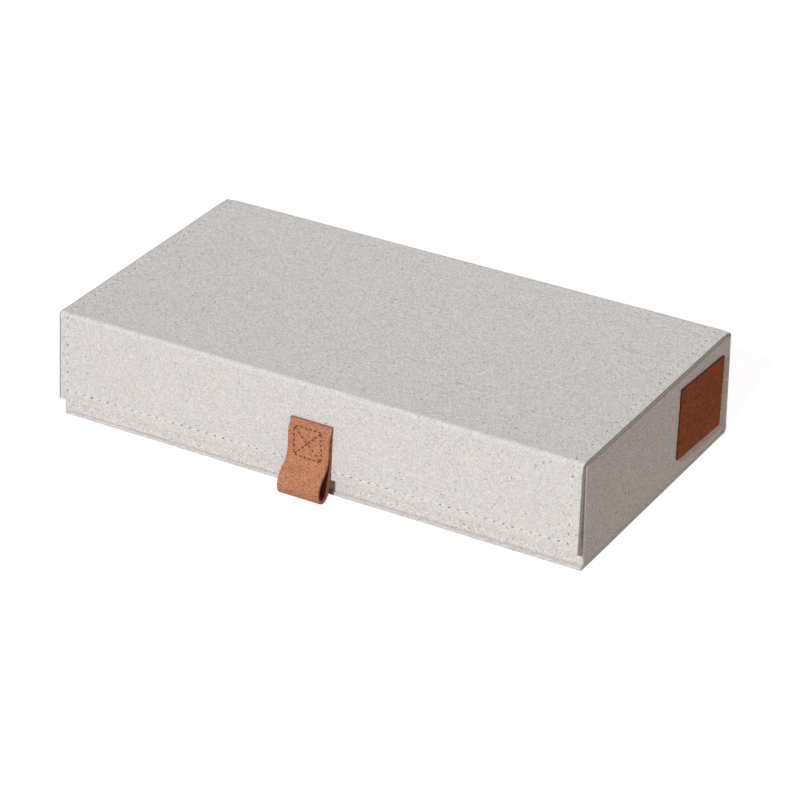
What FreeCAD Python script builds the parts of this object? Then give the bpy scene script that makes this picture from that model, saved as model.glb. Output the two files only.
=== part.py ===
import FreeCAD, Part
import math
import os
import Sketcher

# A box for glasses: a cloth-covered tray with dividers, and a cover rolled round it like a book cover.
# The cover is four boards in one cloth: base, spine, lid and front flap, with a cloth fold between each two.
# Millimetres, +Z up, +X right, -Y front. The origin is the middle of the underside.

Vector = FreeCAD.Vector
document = FreeCAD.newDocument("GlassesBox")


# Driving sizes

SIZES = [
    ("box_length", 328, "base from end to end"),
    ("lid_overlength", 0.7, "lid and flap are this much longer than the base"),
    ("box_depth", 173.5, "base from the front edge to the spine's outer face"),
    ("box_height", 64, "underside to the lid's top"),
    ("cover_board", 0.9, "board in the cover"),
    ("cloth", 0.4, "cover cloth and lining"),
    ("edge_flat", 0.1, "flat left in the middle of a rounded cover edge"),
    ("corner_ease", 1.05, "how much rounder a cover's corner is in plan than its edge"),
    ("cover_shift", -0.35, "lid and flap lie this far to the side of the base"),
    ("turn_in", 14, "cloth turned in over the base board and the spine board"),
    ("lining_margin", 3, "the lid's and flap's linings stop this far inside the edges"),
    ("base_fold_radius", 2.6, "outside of the fold between base and spine"),
    ("lid_fold_radius", 4.5, "outside of the fold between spine and lid"),
    ("flap_fold_radius", 4.5, "outside of the fold between lid and flap"),
    ("fold_tongue", 2, "the fold's cloth is bonded this far over each board's face"),
    ("fold_clearance", 0.2, "least room between a back fold and the tray"),
    ("flap_length", 48.5, "flap from the fold to its free edge, along the slope"),
    ("flap_lean", 4.4, "degrees that the flap leans out from upright"),
    ("lid_gap", 0.4, "room between the tray's rim and the lid"),
    ("flap_gap", 1.0, "room between the tray's front and the flap's top"),
    ("tray_end_inset", 0.35, "tray's and spine's ends in from the base's ends"),
    ("tray_front_inset", 2.6, "tray's front in from the base's front edge"),
    ("tray_board", 2.0, "board in the tray's walls and floor"),
    ("tray_corner_radius", 2.0, "tray's outer corners in plan"),
    ("rim_flat", 1.4, "flat left on top of the tray's rim"),
    ("tray_turn_in", 12, "cloth turned down inside the tray"),
    ("divider_count", 4, "dividers between the places"),
    ("divider_board", 1.6, "board in a divider"),
    ("divider_height", 50, "divider above the tray's lining"),
    ("strap_width", 26, "leather strap"),
    ("strap_thickness", 2.0, "leather strap"),
    ("strap_shift", 1.45, "strap's middle from the flap's middle"),
    ("strap_top", 16.4, "fold to the front leg's end, down the flap"),
    ("strap_back_end", 27, "fold to the back leg's end, down the flap"),
    ("strap_step", 1.0, "inside radius where the front leg steps over the back leg's end"),
    ("strap_slit", 0.05, "gap between the two sewn legs"),
    ("loop_start", 32.3, "fold to where the two legs part, down the flap"),
    ("loop_tip_radius", 4.8, "bend at the loop's lower end"),
    ("loop_bulge", 12.7, "middle of the front leg from the flap, where the loop is widest"),
    ("loop_front_radius", 12.3, "front leg's outward bend"),
    ("loop_neck_radius", 15.5, "front leg's bend where it leaves the flap"),
    ("patch_width", 54, "leather patch along the end wall"),
    ("patch_height", 43, "leather patch"),
    ("patch_thickness", 1.0, "leather patch"),
    ("patch_corner", 1.2, "radius of the patch's corners"),
    ("patch_from_back", 37.9, "patch's middle from the back"),
    ("patch_from_base", 33.0, "patch's middle above the underside"),
    ("patch_droop", 2.0, "degrees that the patch is turned, its back end down"),
]

# Sizes that follow from the driving sizes

PLACES = [
    ("panel", "sizes.cover_board + 2 * sizes.cloth"),
    ("fold_cloth", "2 * sizes.cloth"),
    ("cover_edge", "(places.panel - sizes.edge_flat) / 2"),
    ("cover_corner", "places.cover_edge + sizes.corner_ease"),
    ("half_depth", "sizes.box_depth / 2"),
    ("lid_length", "sizes.box_length + sizes.lid_overlength"),
    ("base_width", "sizes.box_depth - sizes.base_fold_radius"),
    ("spine_width", "sizes.box_height - sizes.base_fold_radius - sizes.lid_fold_radius"),
    ("lid_fold_y", "places.half_depth - sizes.lid_fold_radius"),
    ("rim_radius", "(places.tray_wall - sizes.rim_flat) / 2"),
    ("tray_wall", "sizes.tray_board + 2 * sizes.cloth"),
    ("tray_front", "sizes.tray_front_inset - places.half_depth"),
    ("base_room", "sizes.base_fold_radius - places.fold_cloth - sizes.fold_clearance"),
    ("base_reach", "sizes.base_fold_radius - places.panel"),
    ("base_gap", "places.base_reach - sqrt(places.base_room ^ 2 - places.base_reach ^ 2)"),
    ("lid_room", "sizes.lid_fold_radius - places.fold_cloth - sizes.fold_clearance - places.rim_radius"),
    ("lid_reach", "sizes.lid_fold_radius - places.panel - places.rim_radius"),
    ("lid_gap_reach", "places.lid_reach - sizes.lid_gap"),
    ("rim_gap", "places.lid_reach - sqrt(places.lid_room ^ 2 - places.lid_gap_reach ^ 2)"),
    ("spine_gap", "max(0; places.base_gap; places.rim_gap)"),
    ("tray_back", "places.half_depth - places.panel - places.spine_gap"),
    ("tray_middle", "(places.tray_front + places.tray_back) / 2"),
    ("tray_length", "sizes.box_length - 2 * sizes.tray_end_inset"),
    ("tray_depth", "places.tray_back - places.tray_front"),
    ("tray_height", "sizes.box_height - 2 * places.panel - sizes.lid_gap"),
    ("core_length", "places.tray_length - 2 * sizes.cloth"),
    ("core_depth", "places.tray_depth - 2 * sizes.cloth"),
    ("floor_length", "places.core_length - 2 * sizes.tray_board"),
    ("floor_depth", "places.core_depth - 2 * sizes.tray_board"),
    ("inside_length", "places.tray_length - 2 * places.tray_wall"),
    ("inside_depth", "places.tray_depth - 2 * places.tray_wall"),
    ("floor_top", "places.panel + sizes.tray_board"),
    ("lining_top", "places.floor_top + sizes.cloth"),
    ("lining_height", "places.tray_height - sizes.tray_board - sizes.tray_turn_in"),
    ("divider", "sizes.divider_board + 2 * sizes.cloth"),
    ("divider_edge", "(places.divider - sizes.edge_flat) / 2"),
    ("divider_pitch", "(places.inside_length + places.divider) / (sizes.divider_count + 1)"),
    ("flap_tuck", "(sizes.flap_fold_radius - places.panel) * cos(sizes.flap_lean)"),
    ("flap_fold_y", "places.tray_front - sizes.flap_gap + places.flap_tuck"),
    ("flap_fold_z", "sizes.box_height - sizes.flap_fold_radius"),
    ("flap_top_y", "places.flap_fold_y - sizes.flap_fold_radius * cos(sizes.flap_lean)"),
    ("flap_top_z", "places.flap_fold_z + sizes.flap_fold_radius * sin(sizes.flap_lean)"),
    ("lid_width", "places.lid_fold_y - places.flap_fold_y"),
    ("back_turn", "45"),
    ("front_turn", "(90 - sizes.flap_lean) / 2"),
    ("leg", "sizes.strap_thickness / 2"),
    ("sewn_leg", "3 * places.leg + sizes.strap_slit"),
    ("rise", "places.sewn_leg - places.leg"),
    ("front_radii", "sizes.loop_front_radius + sizes.loop_neck_radius"),
    ("front_drop", "sizes.loop_bulge - places.sewn_leg"),
    ("front_angle", "acos(1 - places.front_drop / places.front_radii) / 1 deg"),
    ("loop_reach", "places.front_radii * sin(places.front_angle)"),
    ("neck_low", "sizes.loop_start + sizes.loop_neck_radius * sin(places.front_angle)"),
    ("neck_bow", "sizes.loop_neck_radius * (1 - cos(places.front_angle))"),
    ("back_rise", "sizes.loop_bulge - places.leg - 2 * sizes.loop_tip_radius"),
    ("back_arm", "(places.loop_reach ^ 2 + places.back_rise ^ 2) / (2 * places.back_rise)"),
    ("back_radius", "sizes.loop_tip_radius + places.back_arm"),
    ("back_angle", "2 * atan(places.back_rise / places.loop_reach) / 1 deg"),
    ("tip_start", "sizes.loop_start + places.back_radius * sin(places.back_angle)"),
    ("tip_bow", "places.back_radius * (1 - cos(places.back_angle))"),
    ("tip_middle", "sizes.loop_start + places.loop_reach"),
    ("step_radius", "places.leg + sizes.strap_step"),
    ("step_angle", "acos(1 - places.rise / (2 * places.step_radius)) / 1 deg"),
    ("step_half", "places.step_radius * sin(places.step_angle)"),
    ("step_low", "sizes.strap_back_end - places.leg"),
    ("step_middle", "places.step_low - places.step_half"),
    ("step_top", "places.step_middle - places.step_half"),
    ("patch_y", "places.half_depth - sizes.patch_from_back"),
]


def fill_sheet(name, rows):
    """A spreadsheet with one named cell and one remark a row."""
    sheet = document.addObject("Spreadsheet::Sheet", name)
    for row, (alias, content, remark) in enumerate(rows, start=1):
        sheet.set(f"A{row}", alias)
        sheet.set(f"B{row}", content)
        sheet.set(f"C{row}", remark)
        sheet.setAlias(f"B{row}", alias)
    return sheet


sizes = fill_sheet("sizes", [(alias, str(size), remark) for alias, size, remark in SIZES])
places = fill_sheet("places", [(alias, "=" + formula, "") for alias, formula in PLACES])
document.recompute()


def value(expression):
    """The number that an expression in the sheets' names gives."""
    result = places.evalExpression(expression)
    return float(getattr(result, "Value", result))


def bind(thing, **expressions):
    """Ties properties to expressions; a double underscore in a key stands for a dot."""
    for key, expression in expressions.items():
        thing.setExpression(key.replace("__", "."), expression)


# Sketches and bodies

def new_body(name, label=None):
    body = document.addObject("PartDesign::Body", name)
    body.Label = label or name
    return body


def new_sketch(body, name, role):
    """A sketch on one of the body's own origin planes."""
    sketch = body.newObject("Sketcher::SketchObject", name)
    plane = [feature for feature in body.Origin.OriginFeatures if feature.Role == role][0]
    sketch.AttachmentSupport = (plane, [""])
    sketch.MapMode = "FlatFace"
    return sketch


def draw(sketch, points, arcs, closed=True):
    """Lines through the points, each a pair of expressions. arcs gives, for the number of a stretch,
    the centre and radius that bend it, as three expressions."""
    corners = [Vector(value(x), value(y), 0) for x, y in points]
    count = len(points) if closed else len(points) - 1
    ends = []
    for index in range(count):
        start, end = corners[index], corners[(index + 1) % len(corners)]
        if index not in arcs:
            sketch.addGeometry(Part.LineSegment(start, end), False)
            ends.append((1, 2))
            continue
        centre_x, centre_y, radius = [value(expression) for expression in arcs[index]]
        first = math.atan2(start.y - centre_y, start.x - centre_x)
        last = math.atan2(end.y - centre_y, end.x - centre_x)
        turns_left = (last - first) % (2 * math.pi) < math.pi
        low, high = (first, last) if turns_left else (last, first)
        circle = Part.Circle(Vector(centre_x, centre_y, 0), Vector(0, 0, 1), radius)
        sketch.addGeometry(Part.ArcOfCircle(circle, low, high), False)
        ends.append((1, 2) if turns_left else (2, 1))
    for index in range(count if closed else count - 1):
        following = (index + 1) % count
        sketch.addConstraint(
            Sketcher.Constraint("Coincident", index, ends[index][1], following, ends[following][0]))
    for index, (x, y) in enumerate(points):
        edge, end = (index, ends[index][0]) if index < count else (count - 1, ends[count - 1][1])
        for axis, expression in (("X", x), ("Y", y)):
            number = sketch.addConstraint(
                Sketcher.Constraint("Distance" + axis, -1, 1, edge, end, value(expression)))
            sketch.setExpression(f"Constraints[{number}]", expression)
    for index, (centre_x, centre_y, radius) in arcs.items():
        number = sketch.addConstraint(Sketcher.Constraint("Radius", index, value(radius)))
        sketch.setExpression(f"Constraints[{number}]", radius)


def draw_rectangle(sketch, left, right, low, high):
    draw(sketch, [(left, low), (right, low), (right, high), (left, high)], {})


def pad(body, sketch, length, both_ways=False):
    feature = body.newObject("PartDesign::Pad", sketch.Name + "_pad")
    feature.Profile = sketch
    feature.SideType = "Symmetric" if both_ways else "One side"
    bind(feature, Length=length)
    document.recompute()
    return feature


def fillet(body, name, radius, chosen):
    """Rounds the edges of the body's last feature whose end points all pass the test."""
    base = body.Tip
    names = []
    for number, edge in enumerate(base.Shape.Edges, start=1):
        if all(chosen(vertex.Point) for vertex in edge.Vertexes) and chosen(edge.CenterOfMass):
            names.append(f"Edge{number}")
    feature = body.newObject("PartDesign::Fillet", name)
    feature.Base = (base, names)
    bind(feature, Radius=radius)
    document.recompute()
    return feature


def same(first, second):
    return abs(first - second) < 1e-4


def cut(label, base, tools):
    """The base less each tool, the last cut carrying the label."""
    for index, tool in enumerate(tools):
        result = document.addObject("Part::Cut", f"{label}_cut_{index}")
        result.Base = base
        result.Tool = tool
        base = result
    base.Label = label
    return base


# The cover: each panel is made flat, its outer face down on XY and its width along Y from a fold's start.
# Its placement then turns it about X: the base by 0, the spine by 90, the lid by 180,
# and the flap by 270 less its lean.

class Panel:
    def __init__(self, name, length, width, turn, start_y, start_z, shift, folds, margin):
        self.name = name
        self.length = length
        self.width = width
        self.turn = turn
        self.start = (shift, start_y, start_z)
        self.folds = folds
        self.margin = margin

    def place(self, thing):
        """Sets the thing where this panel lies on the box."""
        rotation = FreeCAD.Rotation(Vector(1, 0, 0), value(self.turn))
        thing.Placement = FreeCAD.Placement(Vector(0, 0, 0), rotation)
        x, y, z = self.start
        bind(thing, Placement__Base__x=x, Placement__Base__y=y, Placement__Base__z=z,
             Placement__Rotation__Angle=self.turn)


PANELS = [
    Panel("base", "sizes.box_length", "places.base_width", "0", "-places.half_depth", "0", "0",
          {"end": ("sizes.base_fold_radius", "places.back_turn")}, "sizes.turn_in"),
    Panel("spine", "places.tray_length", "places.spine_width", "90", "places.half_depth",
          "sizes.base_fold_radius", "0",
          {"start": ("sizes.base_fold_radius", "places.back_turn"),
           "end": ("sizes.lid_fold_radius", "places.back_turn")}, "sizes.turn_in"),
    Panel("lid", "places.lid_length", "places.lid_width", "180", "places.lid_fold_y",
          "sizes.box_height", "sizes.cover_shift",
          {"start": ("sizes.lid_fold_radius", "places.back_turn"),
           "end": ("sizes.flap_fold_radius", "places.front_turn")}, "sizes.lining_margin"),
    Panel("flap", "places.lid_length", "sizes.flap_length", "270 - sizes.flap_lean", "places.flap_top_y",
          "places.flap_top_z", "sizes.cover_shift",
          {"start": ("sizes.flap_fold_radius", "places.front_turn")}, "sizes.lining_margin"),
]


def rounded_slab(panel, label, inset, thickness, lift, corner, edge):
    """A slab that keeps the inset from the panel's outline, with rounded edges and rounded free corners."""
    body = new_body(label)
    sketch = new_sketch(body, label + "_outline", "XY_Plane")
    half_length = f"({panel.length} / 2 - {inset})"
    low, high = inset, f"{panel.width} - {inset}"
    draw_rectangle(sketch, f"-{half_length}", half_length, low, high)
    bind(sketch, AttachmentOffset__Base__z=lift)
    pad(body, sketch, thickness)
    free = [value(end) for side, end in (("start", low), ("end", high)) if side not in panel.folds]
    bottom, top = value(lift), value(f"{lift} + {thickness}")
    if free:
        fillet(body, label + "_corners", corner,
               lambda point: any(same(point.y, end) for end in free)
               and same(abs(point.x), value(half_length)))
    fillet(body, label + "_edges", edge, lambda point: same(point.z, bottom) or same(point.z, top))
    panel.place(body)
    return body


def half_fold(panel, side):
    """The panel's share of a fold: cloth bonded over the outer face, then bent round half of the fold."""
    radius, turn = panel.folds[side]
    inner = f"({radius} - places.fold_cloth)"
    line, sign = ("0", "-") if side == "start" else (panel.width, "+")
    inward = "+" if side == "start" else "-"
    body = new_body(f"{panel.name}_{side}_fold")
    sketch = new_sketch(body, body.Name + "_section", "YZ_Plane")
    points = [
        (f"{line} {inward} sizes.fold_tongue", "0"),
        (line, "0"),
        (f"{line} {sign} {radius} * sin({turn})", f"{radius} * (1 - cos({turn}))"),
        (f"{line} {sign} {inner} * sin({turn})", f"{radius} - {inner} * cos({turn})"),
        (line, "places.fold_cloth"),
        (f"{line} {inward} sizes.fold_tongue", "places.fold_cloth"),
    ]
    draw(sketch, points, {1: (line, radius, radius), 3: (line, radius, inner)})
    pad(body, sketch, f"{panel.length} - places.cover_edge", both_ways=True)
    panel.place(body)
    return body


def make_panel(panel):
    """The board of one panel, the cloth round it with its half folds, and a lining where it shows."""
    board = rounded_slab(panel, panel.name + "_board", "sizes.cloth", "sizes.cover_board", "sizes.cloth",
                         "places.cover_corner - sizes.cloth", "places.cover_edge - sizes.cloth")
    slab = rounded_slab(panel, panel.name + "_slab", "0", "places.panel", "0",
                        "places.cover_corner", "places.cover_edge")
    fused = document.addObject("Part::MultiFuse", panel.name + "_wrap")
    fused.Shapes = [slab] + [half_fold(panel, side) for side in panel.folds]
    lined = panel.margin == "sizes.lining_margin"
    sheet = new_body(panel.name + ("_lining" if lined else "_window"))
    sketch = new_sketch(sheet, sheet.Name + "_outline", "XY_Plane")
    half_length = f"({panel.length} / 2 - {panel.margin})"
    draw_rectangle(sketch, f"-{half_length}", half_length, panel.margin, f"{panel.width} - {panel.margin}")
    bind(sketch, AttachmentOffset__Base__z="places.panel - sizes.cloth")
    pad(sheet, sketch, "sizes.cloth")
    panel.place(sheet)
    cloth = cut(panel.name + "_cloth", fused, [board, sheet])
    return [board, cloth] + ([sheet] if lined else [])


# The tray

def new_box(name, length, width, height, x, y, z):
    box = document.addObject("Part::Box", name)
    bind(box, Length=length, Width=width, Height=height,
         Placement__Base__x=x, Placement__Base__y=y, Placement__Base__z=z)
    return box


def rounded_prism(name, length, depth, height, radius, low):
    """An upright prism on the tray's middle, with rounded corners in plan."""
    body = new_body(name)
    sketch = new_sketch(body, name + "_outline", "XY_Plane")
    draw_rectangle(sketch, f"-{length} / 2", f"{length} / 2", f"-{depth} / 2", f"{depth} / 2")
    pad(body, sketch, height)
    fillet(body, name + "_corners", radius,
           lambda point: same(abs(point.x), value(length) / 2) and same(abs(point.y), value(depth) / 2))
    bind(body, Placement__Base__y="places.tray_middle", Placement__Base__z=low)
    return body


def make_tray_boards():
    """The floor and four walls. The front and back walls run full length, the end walls stand between."""
    core = rounded_prism("tray_core", "places.core_length", "places.core_depth",
                         "places.tray_height", "sizes.tray_corner_radius - sizes.cloth", "places.panel")
    height = "places.tray_height - sizes.cloth"
    end_x = "places.core_length / 2"
    front_y = "places.tray_front + sizes.cloth"
    side_y = "places.tray_front + sizes.cloth + sizes.tray_board"
    back_y = "places.tray_back - sizes.cloth - sizes.tray_board"
    walls = {
        "tray_front_wall": ("places.core_length", "sizes.tray_board", f"-{end_x}", front_y),
        "tray_back_wall": ("places.core_length", "sizes.tray_board", f"-{end_x}", back_y),
        "tray_left_wall": ("sizes.tray_board", "places.floor_depth", f"-{end_x}", side_y),
        "tray_right_wall": ("sizes.tray_board", "places.floor_depth", f"{end_x} - sizes.tray_board", side_y),
    }
    boards = []
    for name, (length, width, x, y) in walls.items():
        strip = new_box(name + "_strip", length, width, height, x, y, "places.panel")
        wall = document.addObject("Part::Common", name)
        wall.Base = strip
        wall.Tool = core
        wall.Label = name
        boards.append(wall)
    floor = new_box("tray_floor", "places.floor_length", "places.floor_depth", "sizes.tray_board",
                    "-places.floor_length / 2", side_y, "places.panel")
    return boards + [floor]


def make_tray_lining():
    """An open-topped liner on the floor and up the walls to the turned-in cloth."""
    body = new_body("tray_lining")
    outline = new_sketch(body, "lining_outline", "XY_Plane")
    draw_rectangle(outline, "-places.floor_length / 2", "places.floor_length / 2",
                   "-places.floor_depth / 2", "places.floor_depth / 2")
    pad(body, outline, "places.lining_height")
    hollow = new_sketch(body, "lining_hollow", "XY_Plane")
    draw_rectangle(hollow, "-places.inside_length / 2", "places.inside_length / 2",
                   "-places.inside_depth / 2", "places.inside_depth / 2")
    bind(hollow, AttachmentOffset__Base__z="places.lining_height")
    pocket = body.newObject("PartDesign::Pocket", "lining_pocket")
    pocket.Profile = hollow
    bind(pocket, Length="places.lining_height - sizes.cloth")
    bind(body, Placement__Base__y="places.tray_middle", Placement__Base__z="places.floor_top")
    return body


def make_tray_cloth(boards, lining):
    """The cloth on the tray's outside, over its rim and a little way down inside."""
    block = rounded_prism("tray_block", "places.tray_length", "places.tray_depth", "places.tray_height",
                          "sizes.tray_corner_radius", "places.panel")
    hollow = new_sketch(block, "tray_hollow", "XY_Plane")
    draw_rectangle(hollow, "-places.inside_length / 2", "places.inside_length / 2",
                   "-places.inside_depth / 2", "places.inside_depth / 2")
    bind(hollow, AttachmentOffset__Base__z="places.tray_height")
    pocket = block.newObject("PartDesign::Pocket", "tray_hollow_pocket")
    pocket.Profile = hollow
    bind(pocket, Length="places.tray_height")
    document.recompute()
    fillet(block, "tray_rim", "places.rim_radius", lambda point: same(point.z, value("places.tray_height")))
    return cut("tray_cloth", block, boards + [lining])


def make_divider(number):
    """A board standing on the lining, and the cloth folded over it from one foot to the other."""
    parts = []
    widths = {"board": ("sizes.divider_board", "sizes.divider_height - sizes.cloth",
                        "(places.divider_edge - sizes.cloth)"),
              "cover": ("places.divider", "sizes.divider_height", "places.divider_edge")}
    for piece, (thickness, height, radius) in widths.items():
        name = f"divider_{piece}_{number}"
        body = new_body(name if piece == "board" else name + "_blank", name)
        sketch = new_sketch(body, name + "_section", "XZ_Plane")
        half = f"{thickness} / 2"
        points = [(f"-{half}", "0"), (half, "0"), (half, f"{height} - {radius}"),
                  (f"{half} - {radius}", height), (f"{radius} - {half}", height),
                  (f"-{half}", f"{height} - {radius}")]
        arcs = {2: (f"{half} - {radius}", f"{height} - {radius}", radius),
                4: (f"{radius} - {half}", f"{height} - {radius}", radius)}
        draw(sketch, points, arcs)
        pad(body, sketch, "places.inside_depth", both_ways=True)
        bind(body, Placement__Base__y="places.tray_middle", Placement__Base__z="places.lining_top",
             Placement__Base__x=f"(places.divider - places.inside_length) / 2"
                                f" + {number} * places.divider_pitch - places.divider")
        parts.append(body)
    board, blank = parts
    blank.Label = blank.Name
    return [board, cut(f"divider_cover_{number}", blank, [board])]


# The leather

def make_pull_tab():
    """One strap: up the flap, round the loop, and back up over its own end, swept along its middle line."""
    body = new_body("pull_tab")
    path = new_sketch(body, "strap_path", "YZ_Plane")
    outward = {key: f"-({text})" for key, text in {
        "leg": "places.leg",
        "tip": "places.leg + places.tip_bow",
        "bulge": "sizes.loop_bulge",
        "neck": "places.sewn_leg + places.neck_bow",
        "sewn": "places.sewn_leg",
        "step": "places.leg + places.rise / 2",
        "back_centre": "places.leg + places.back_radius",
        "tip_centre": "sizes.loop_bulge - sizes.loop_tip_radius",
        "front_centre": "sizes.loop_bulge - sizes.loop_front_radius",
        "neck_centre": "places.sewn_leg + sizes.loop_neck_radius",
        "low_centre": "places.sewn_leg - places.step_radius",
        "high_centre": "places.leg + places.step_radius",
    }.items()}
    points = [
        ("sizes.strap_back_end", outward["leg"]),
        ("sizes.loop_start", outward["leg"]),
        ("places.tip_start", outward["tip"]),
        ("places.tip_middle", outward["bulge"]),
        ("places.neck_low", outward["neck"]),
        ("sizes.loop_start", outward["sewn"]),
        ("places.step_low", outward["sewn"]),
        ("places.step_middle", outward["step"]),
        ("places.step_top", outward["leg"]),
        ("sizes.strap_top", outward["leg"]),
    ]
    arcs = {
        1: ("sizes.loop_start", outward["back_centre"], "places.back_radius"),
        2: ("places.tip_middle", outward["tip_centre"], "sizes.loop_tip_radius"),
        3: ("places.tip_middle", outward["front_centre"], "sizes.loop_front_radius"),
        4: ("sizes.loop_start", outward["neck_centre"], "sizes.loop_neck_radius"),
        6: ("places.step_low", outward["low_centre"], "places.step_radius"),
        7: ("places.step_top", outward["high_centre"], "places.step_radius"),
    }
    draw(path, points, arcs, closed=False)
    section = new_sketch(body, "strap_section", "XZ_Plane")
    draw_rectangle(section, "-sizes.strap_width / 2", "sizes.strap_width / 2", "-sizes.strap_thickness", "0")
    bind(section, AttachmentOffset__Base__z="-sizes.strap_back_end")
    document.recompute()
    strap = body.newObject("PartDesign::AdditivePipe", "strap")
    strap.Profile = section
    strap.Spine = (path, [f"Edge{number + 1}" for number in range(len(points) - 1)])
    document.recompute()
    flap = PANELS[-1]
    flap.place(body)
    bind(body, Placement__Base__x="sizes.cover_shift + sizes.strap_shift")
    return body


def make_leather_patch():
    """A plain patch on the tray's right end wall, turned a little in its plane."""
    body = new_body("leather_patch")
    sketch = new_sketch(body, "patch_outline", "YZ_Plane")
    draw_rectangle(sketch, "-sizes.patch_width / 2", "sizes.patch_width / 2",
                   "-sizes.patch_height / 2", "sizes.patch_height / 2")
    pad(body, sketch, "sizes.patch_thickness")
    fillet(body, "patch_corners", "sizes.patch_corner",
           lambda point: same(abs(point.y), value("sizes.patch_width / 2"))
           and same(abs(point.z), value("sizes.patch_height / 2")))
    turn = FreeCAD.Rotation(Vector(-1, 0, 0), value("sizes.patch_droop"))
    body.Placement = FreeCAD.Placement(Vector(0, 0, 0), turn)
    bind(body, Placement__Base__x="places.tray_length / 2", Placement__Base__y="places.patch_y",
         Placement__Base__z="sizes.patch_from_base", Placement__Rotation__Angle="sizes.patch_droop")
    return body


# Building, checking and writing

def build():
    parts = []
    for panel in PANELS:
        parts += make_panel(panel)
    boards = make_tray_boards()
    lining = make_tray_lining()
    parts += boards + [lining, make_tray_cloth(boards, lining)]
    for number in range(1, int(value("sizes.divider_count")) + 1):
        parts += make_divider(number)
    parts += [make_pull_tab(), make_leather_patch()]
    document.recompute()
    return parts


def check(parts):
    for thing in document.Objects:
        if "Invalid" in thing.State or "Error" in thing.State:
            raise RuntimeError(f"{thing.Label} failed: {thing.State}")
    for part in parts:
        if part.Shape.isNull() or not part.Shape.isValid() or len(part.Shape.Solids) != 1:
            raise RuntimeError(f"{part.Label} is not one valid solid")


def write(parts):
    os.makedirs("parts", exist_ok=True)
    for part in parts:
        part.Shape.exportStep(os.path.join("parts", part.Label + ".step"))
        bounds = part.Shape.BoundBox
        print(f"{part.Label:20s} volume {part.Shape.Volume:10.1f}  x {bounds.XMin:8.2f} {bounds.XMax:8.2f}"
              f"  y {bounds.YMin:8.2f} {bounds.YMax:8.2f}  z {bounds.ZMin:7.2f} {bounds.ZMax:7.2f}")


parts = build()
check(parts)
write(parts)
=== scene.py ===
"""A cloth-covered glasses box: canvas over boards, a lid and flap on cloth folds, a leather pull tab.

Lengths are in millimetres, and become metres in make_mesh, unless a comment, a name or a unit says otherwise.
"""

import math

import bmesh
import bpy
import numpy as np
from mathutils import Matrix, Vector


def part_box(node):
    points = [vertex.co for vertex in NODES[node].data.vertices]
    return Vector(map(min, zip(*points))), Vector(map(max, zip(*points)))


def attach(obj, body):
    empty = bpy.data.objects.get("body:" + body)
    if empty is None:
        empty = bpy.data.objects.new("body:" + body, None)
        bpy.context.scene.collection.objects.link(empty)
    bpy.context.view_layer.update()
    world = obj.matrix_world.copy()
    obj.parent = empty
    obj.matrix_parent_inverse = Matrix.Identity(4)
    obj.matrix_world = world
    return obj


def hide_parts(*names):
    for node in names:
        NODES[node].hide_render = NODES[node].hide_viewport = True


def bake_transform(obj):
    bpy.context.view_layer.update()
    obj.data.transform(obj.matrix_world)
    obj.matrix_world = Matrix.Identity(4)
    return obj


bl_info = {
    "name": "Cloth Covered Glasses Box",
    "version": (1, 0, 0),
    "blender": (4, 5, 0),
    "location": "3D View > Sidebar > Glasses Box",
    "description": "Dresses the packed glasses box in canvas, lining, leather and stitches",
    "category": "Object",
}

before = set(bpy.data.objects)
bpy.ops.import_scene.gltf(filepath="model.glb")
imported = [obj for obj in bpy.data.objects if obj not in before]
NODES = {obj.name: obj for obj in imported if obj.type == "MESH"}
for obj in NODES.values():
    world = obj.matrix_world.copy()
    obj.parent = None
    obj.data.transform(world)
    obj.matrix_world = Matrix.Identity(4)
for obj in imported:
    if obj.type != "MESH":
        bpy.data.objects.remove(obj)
MM = 0.001


def node_box(name):
    """The lowest and highest corner of a CAD node, in millimetres."""
    low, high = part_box(name)
    return np.array(low) / MM, np.array(high) / MM


# Outer sizes come from the frame, so the cloth lies where the solids do
BASE_LOW, BASE_HIGH = node_box("base_cloth")
LID_LOW, LID_HIGH = node_box("lid_cloth")
SPINE_LOW, SPINE_HIGH = node_box("spine_cloth")
TRAY_LOW, TRAY_HIGH = node_box("tray_cloth")
LINING_LOW, LINING_HIGH = node_box("tray_lining")
PATCH_LOW, PATCH_HIGH = node_box("leather_patch")

# The covered board's thickness, the folds' outer radii, and the stretch over which the board gives way to a
# fold. The crease is the front fold's radius in this scene
PANEL = BASE_HIGH[2] - BASE_LOW[2]
CLOTH = 0.4
DOUBLE_CLOTH = 2 * CLOTH
BASE_FOLD = 2.6
LID_FOLD = 4.5
FLAP_FOLD = 4.5
FLAP_CREASE = 2.4
FOLD_THINNING = 1.2

# How far past a fold the cover is cut into pieces, and how its free ends and its edges are rounded
SEAM_OVERLAP = 3.0
END_ROUND = 0.35
END_CORNER = 1.0
SQUARE_EDGE = 0.45

# The flap leans out by so many degrees. Its right edge starts short of the lid's and flares past it
FLAP_LEAN = 4.4
FLAP_LENGTH = 48.5
FLAP_GAP = 1.0
FLAP_SHORT = 0.45
FLAP_FLARE = 0.2
LEAN_COS, LEAN_SIN = math.cos(math.radians(FLAP_LEAN)), math.sin(math.radians(FLAP_LEAN))
FRONT_FOLD_Y = TRAY_LOW[1] - FLAP_GAP + (FLAP_FOLD - PANEL) * LEAN_COS
FLAP_START = np.array([FRONT_FOLD_Y - FLAP_FOLD * LEAN_COS, LID_HIGH[2] - FLAP_FOLD * (1 - LEAN_SIN)])

# The tray is a little out of square: its foot stands out at the front's left end and at the left wall
TRAY_WALL = 2.8
TRAY_TURN_IN = 12.0
TRAY_CORNER = 1.1
TRAY_RIM = 1.0
TRAY_FOOT = 0.6
TRAY_FRONT_OUT = 1.6
TRAY_LEFT_OUT = 1.2
TRAY_SLANT_LENGTH = 330.0
LINING_MARGIN = 3.0
SHEET_EXTRA = 0.1

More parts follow.
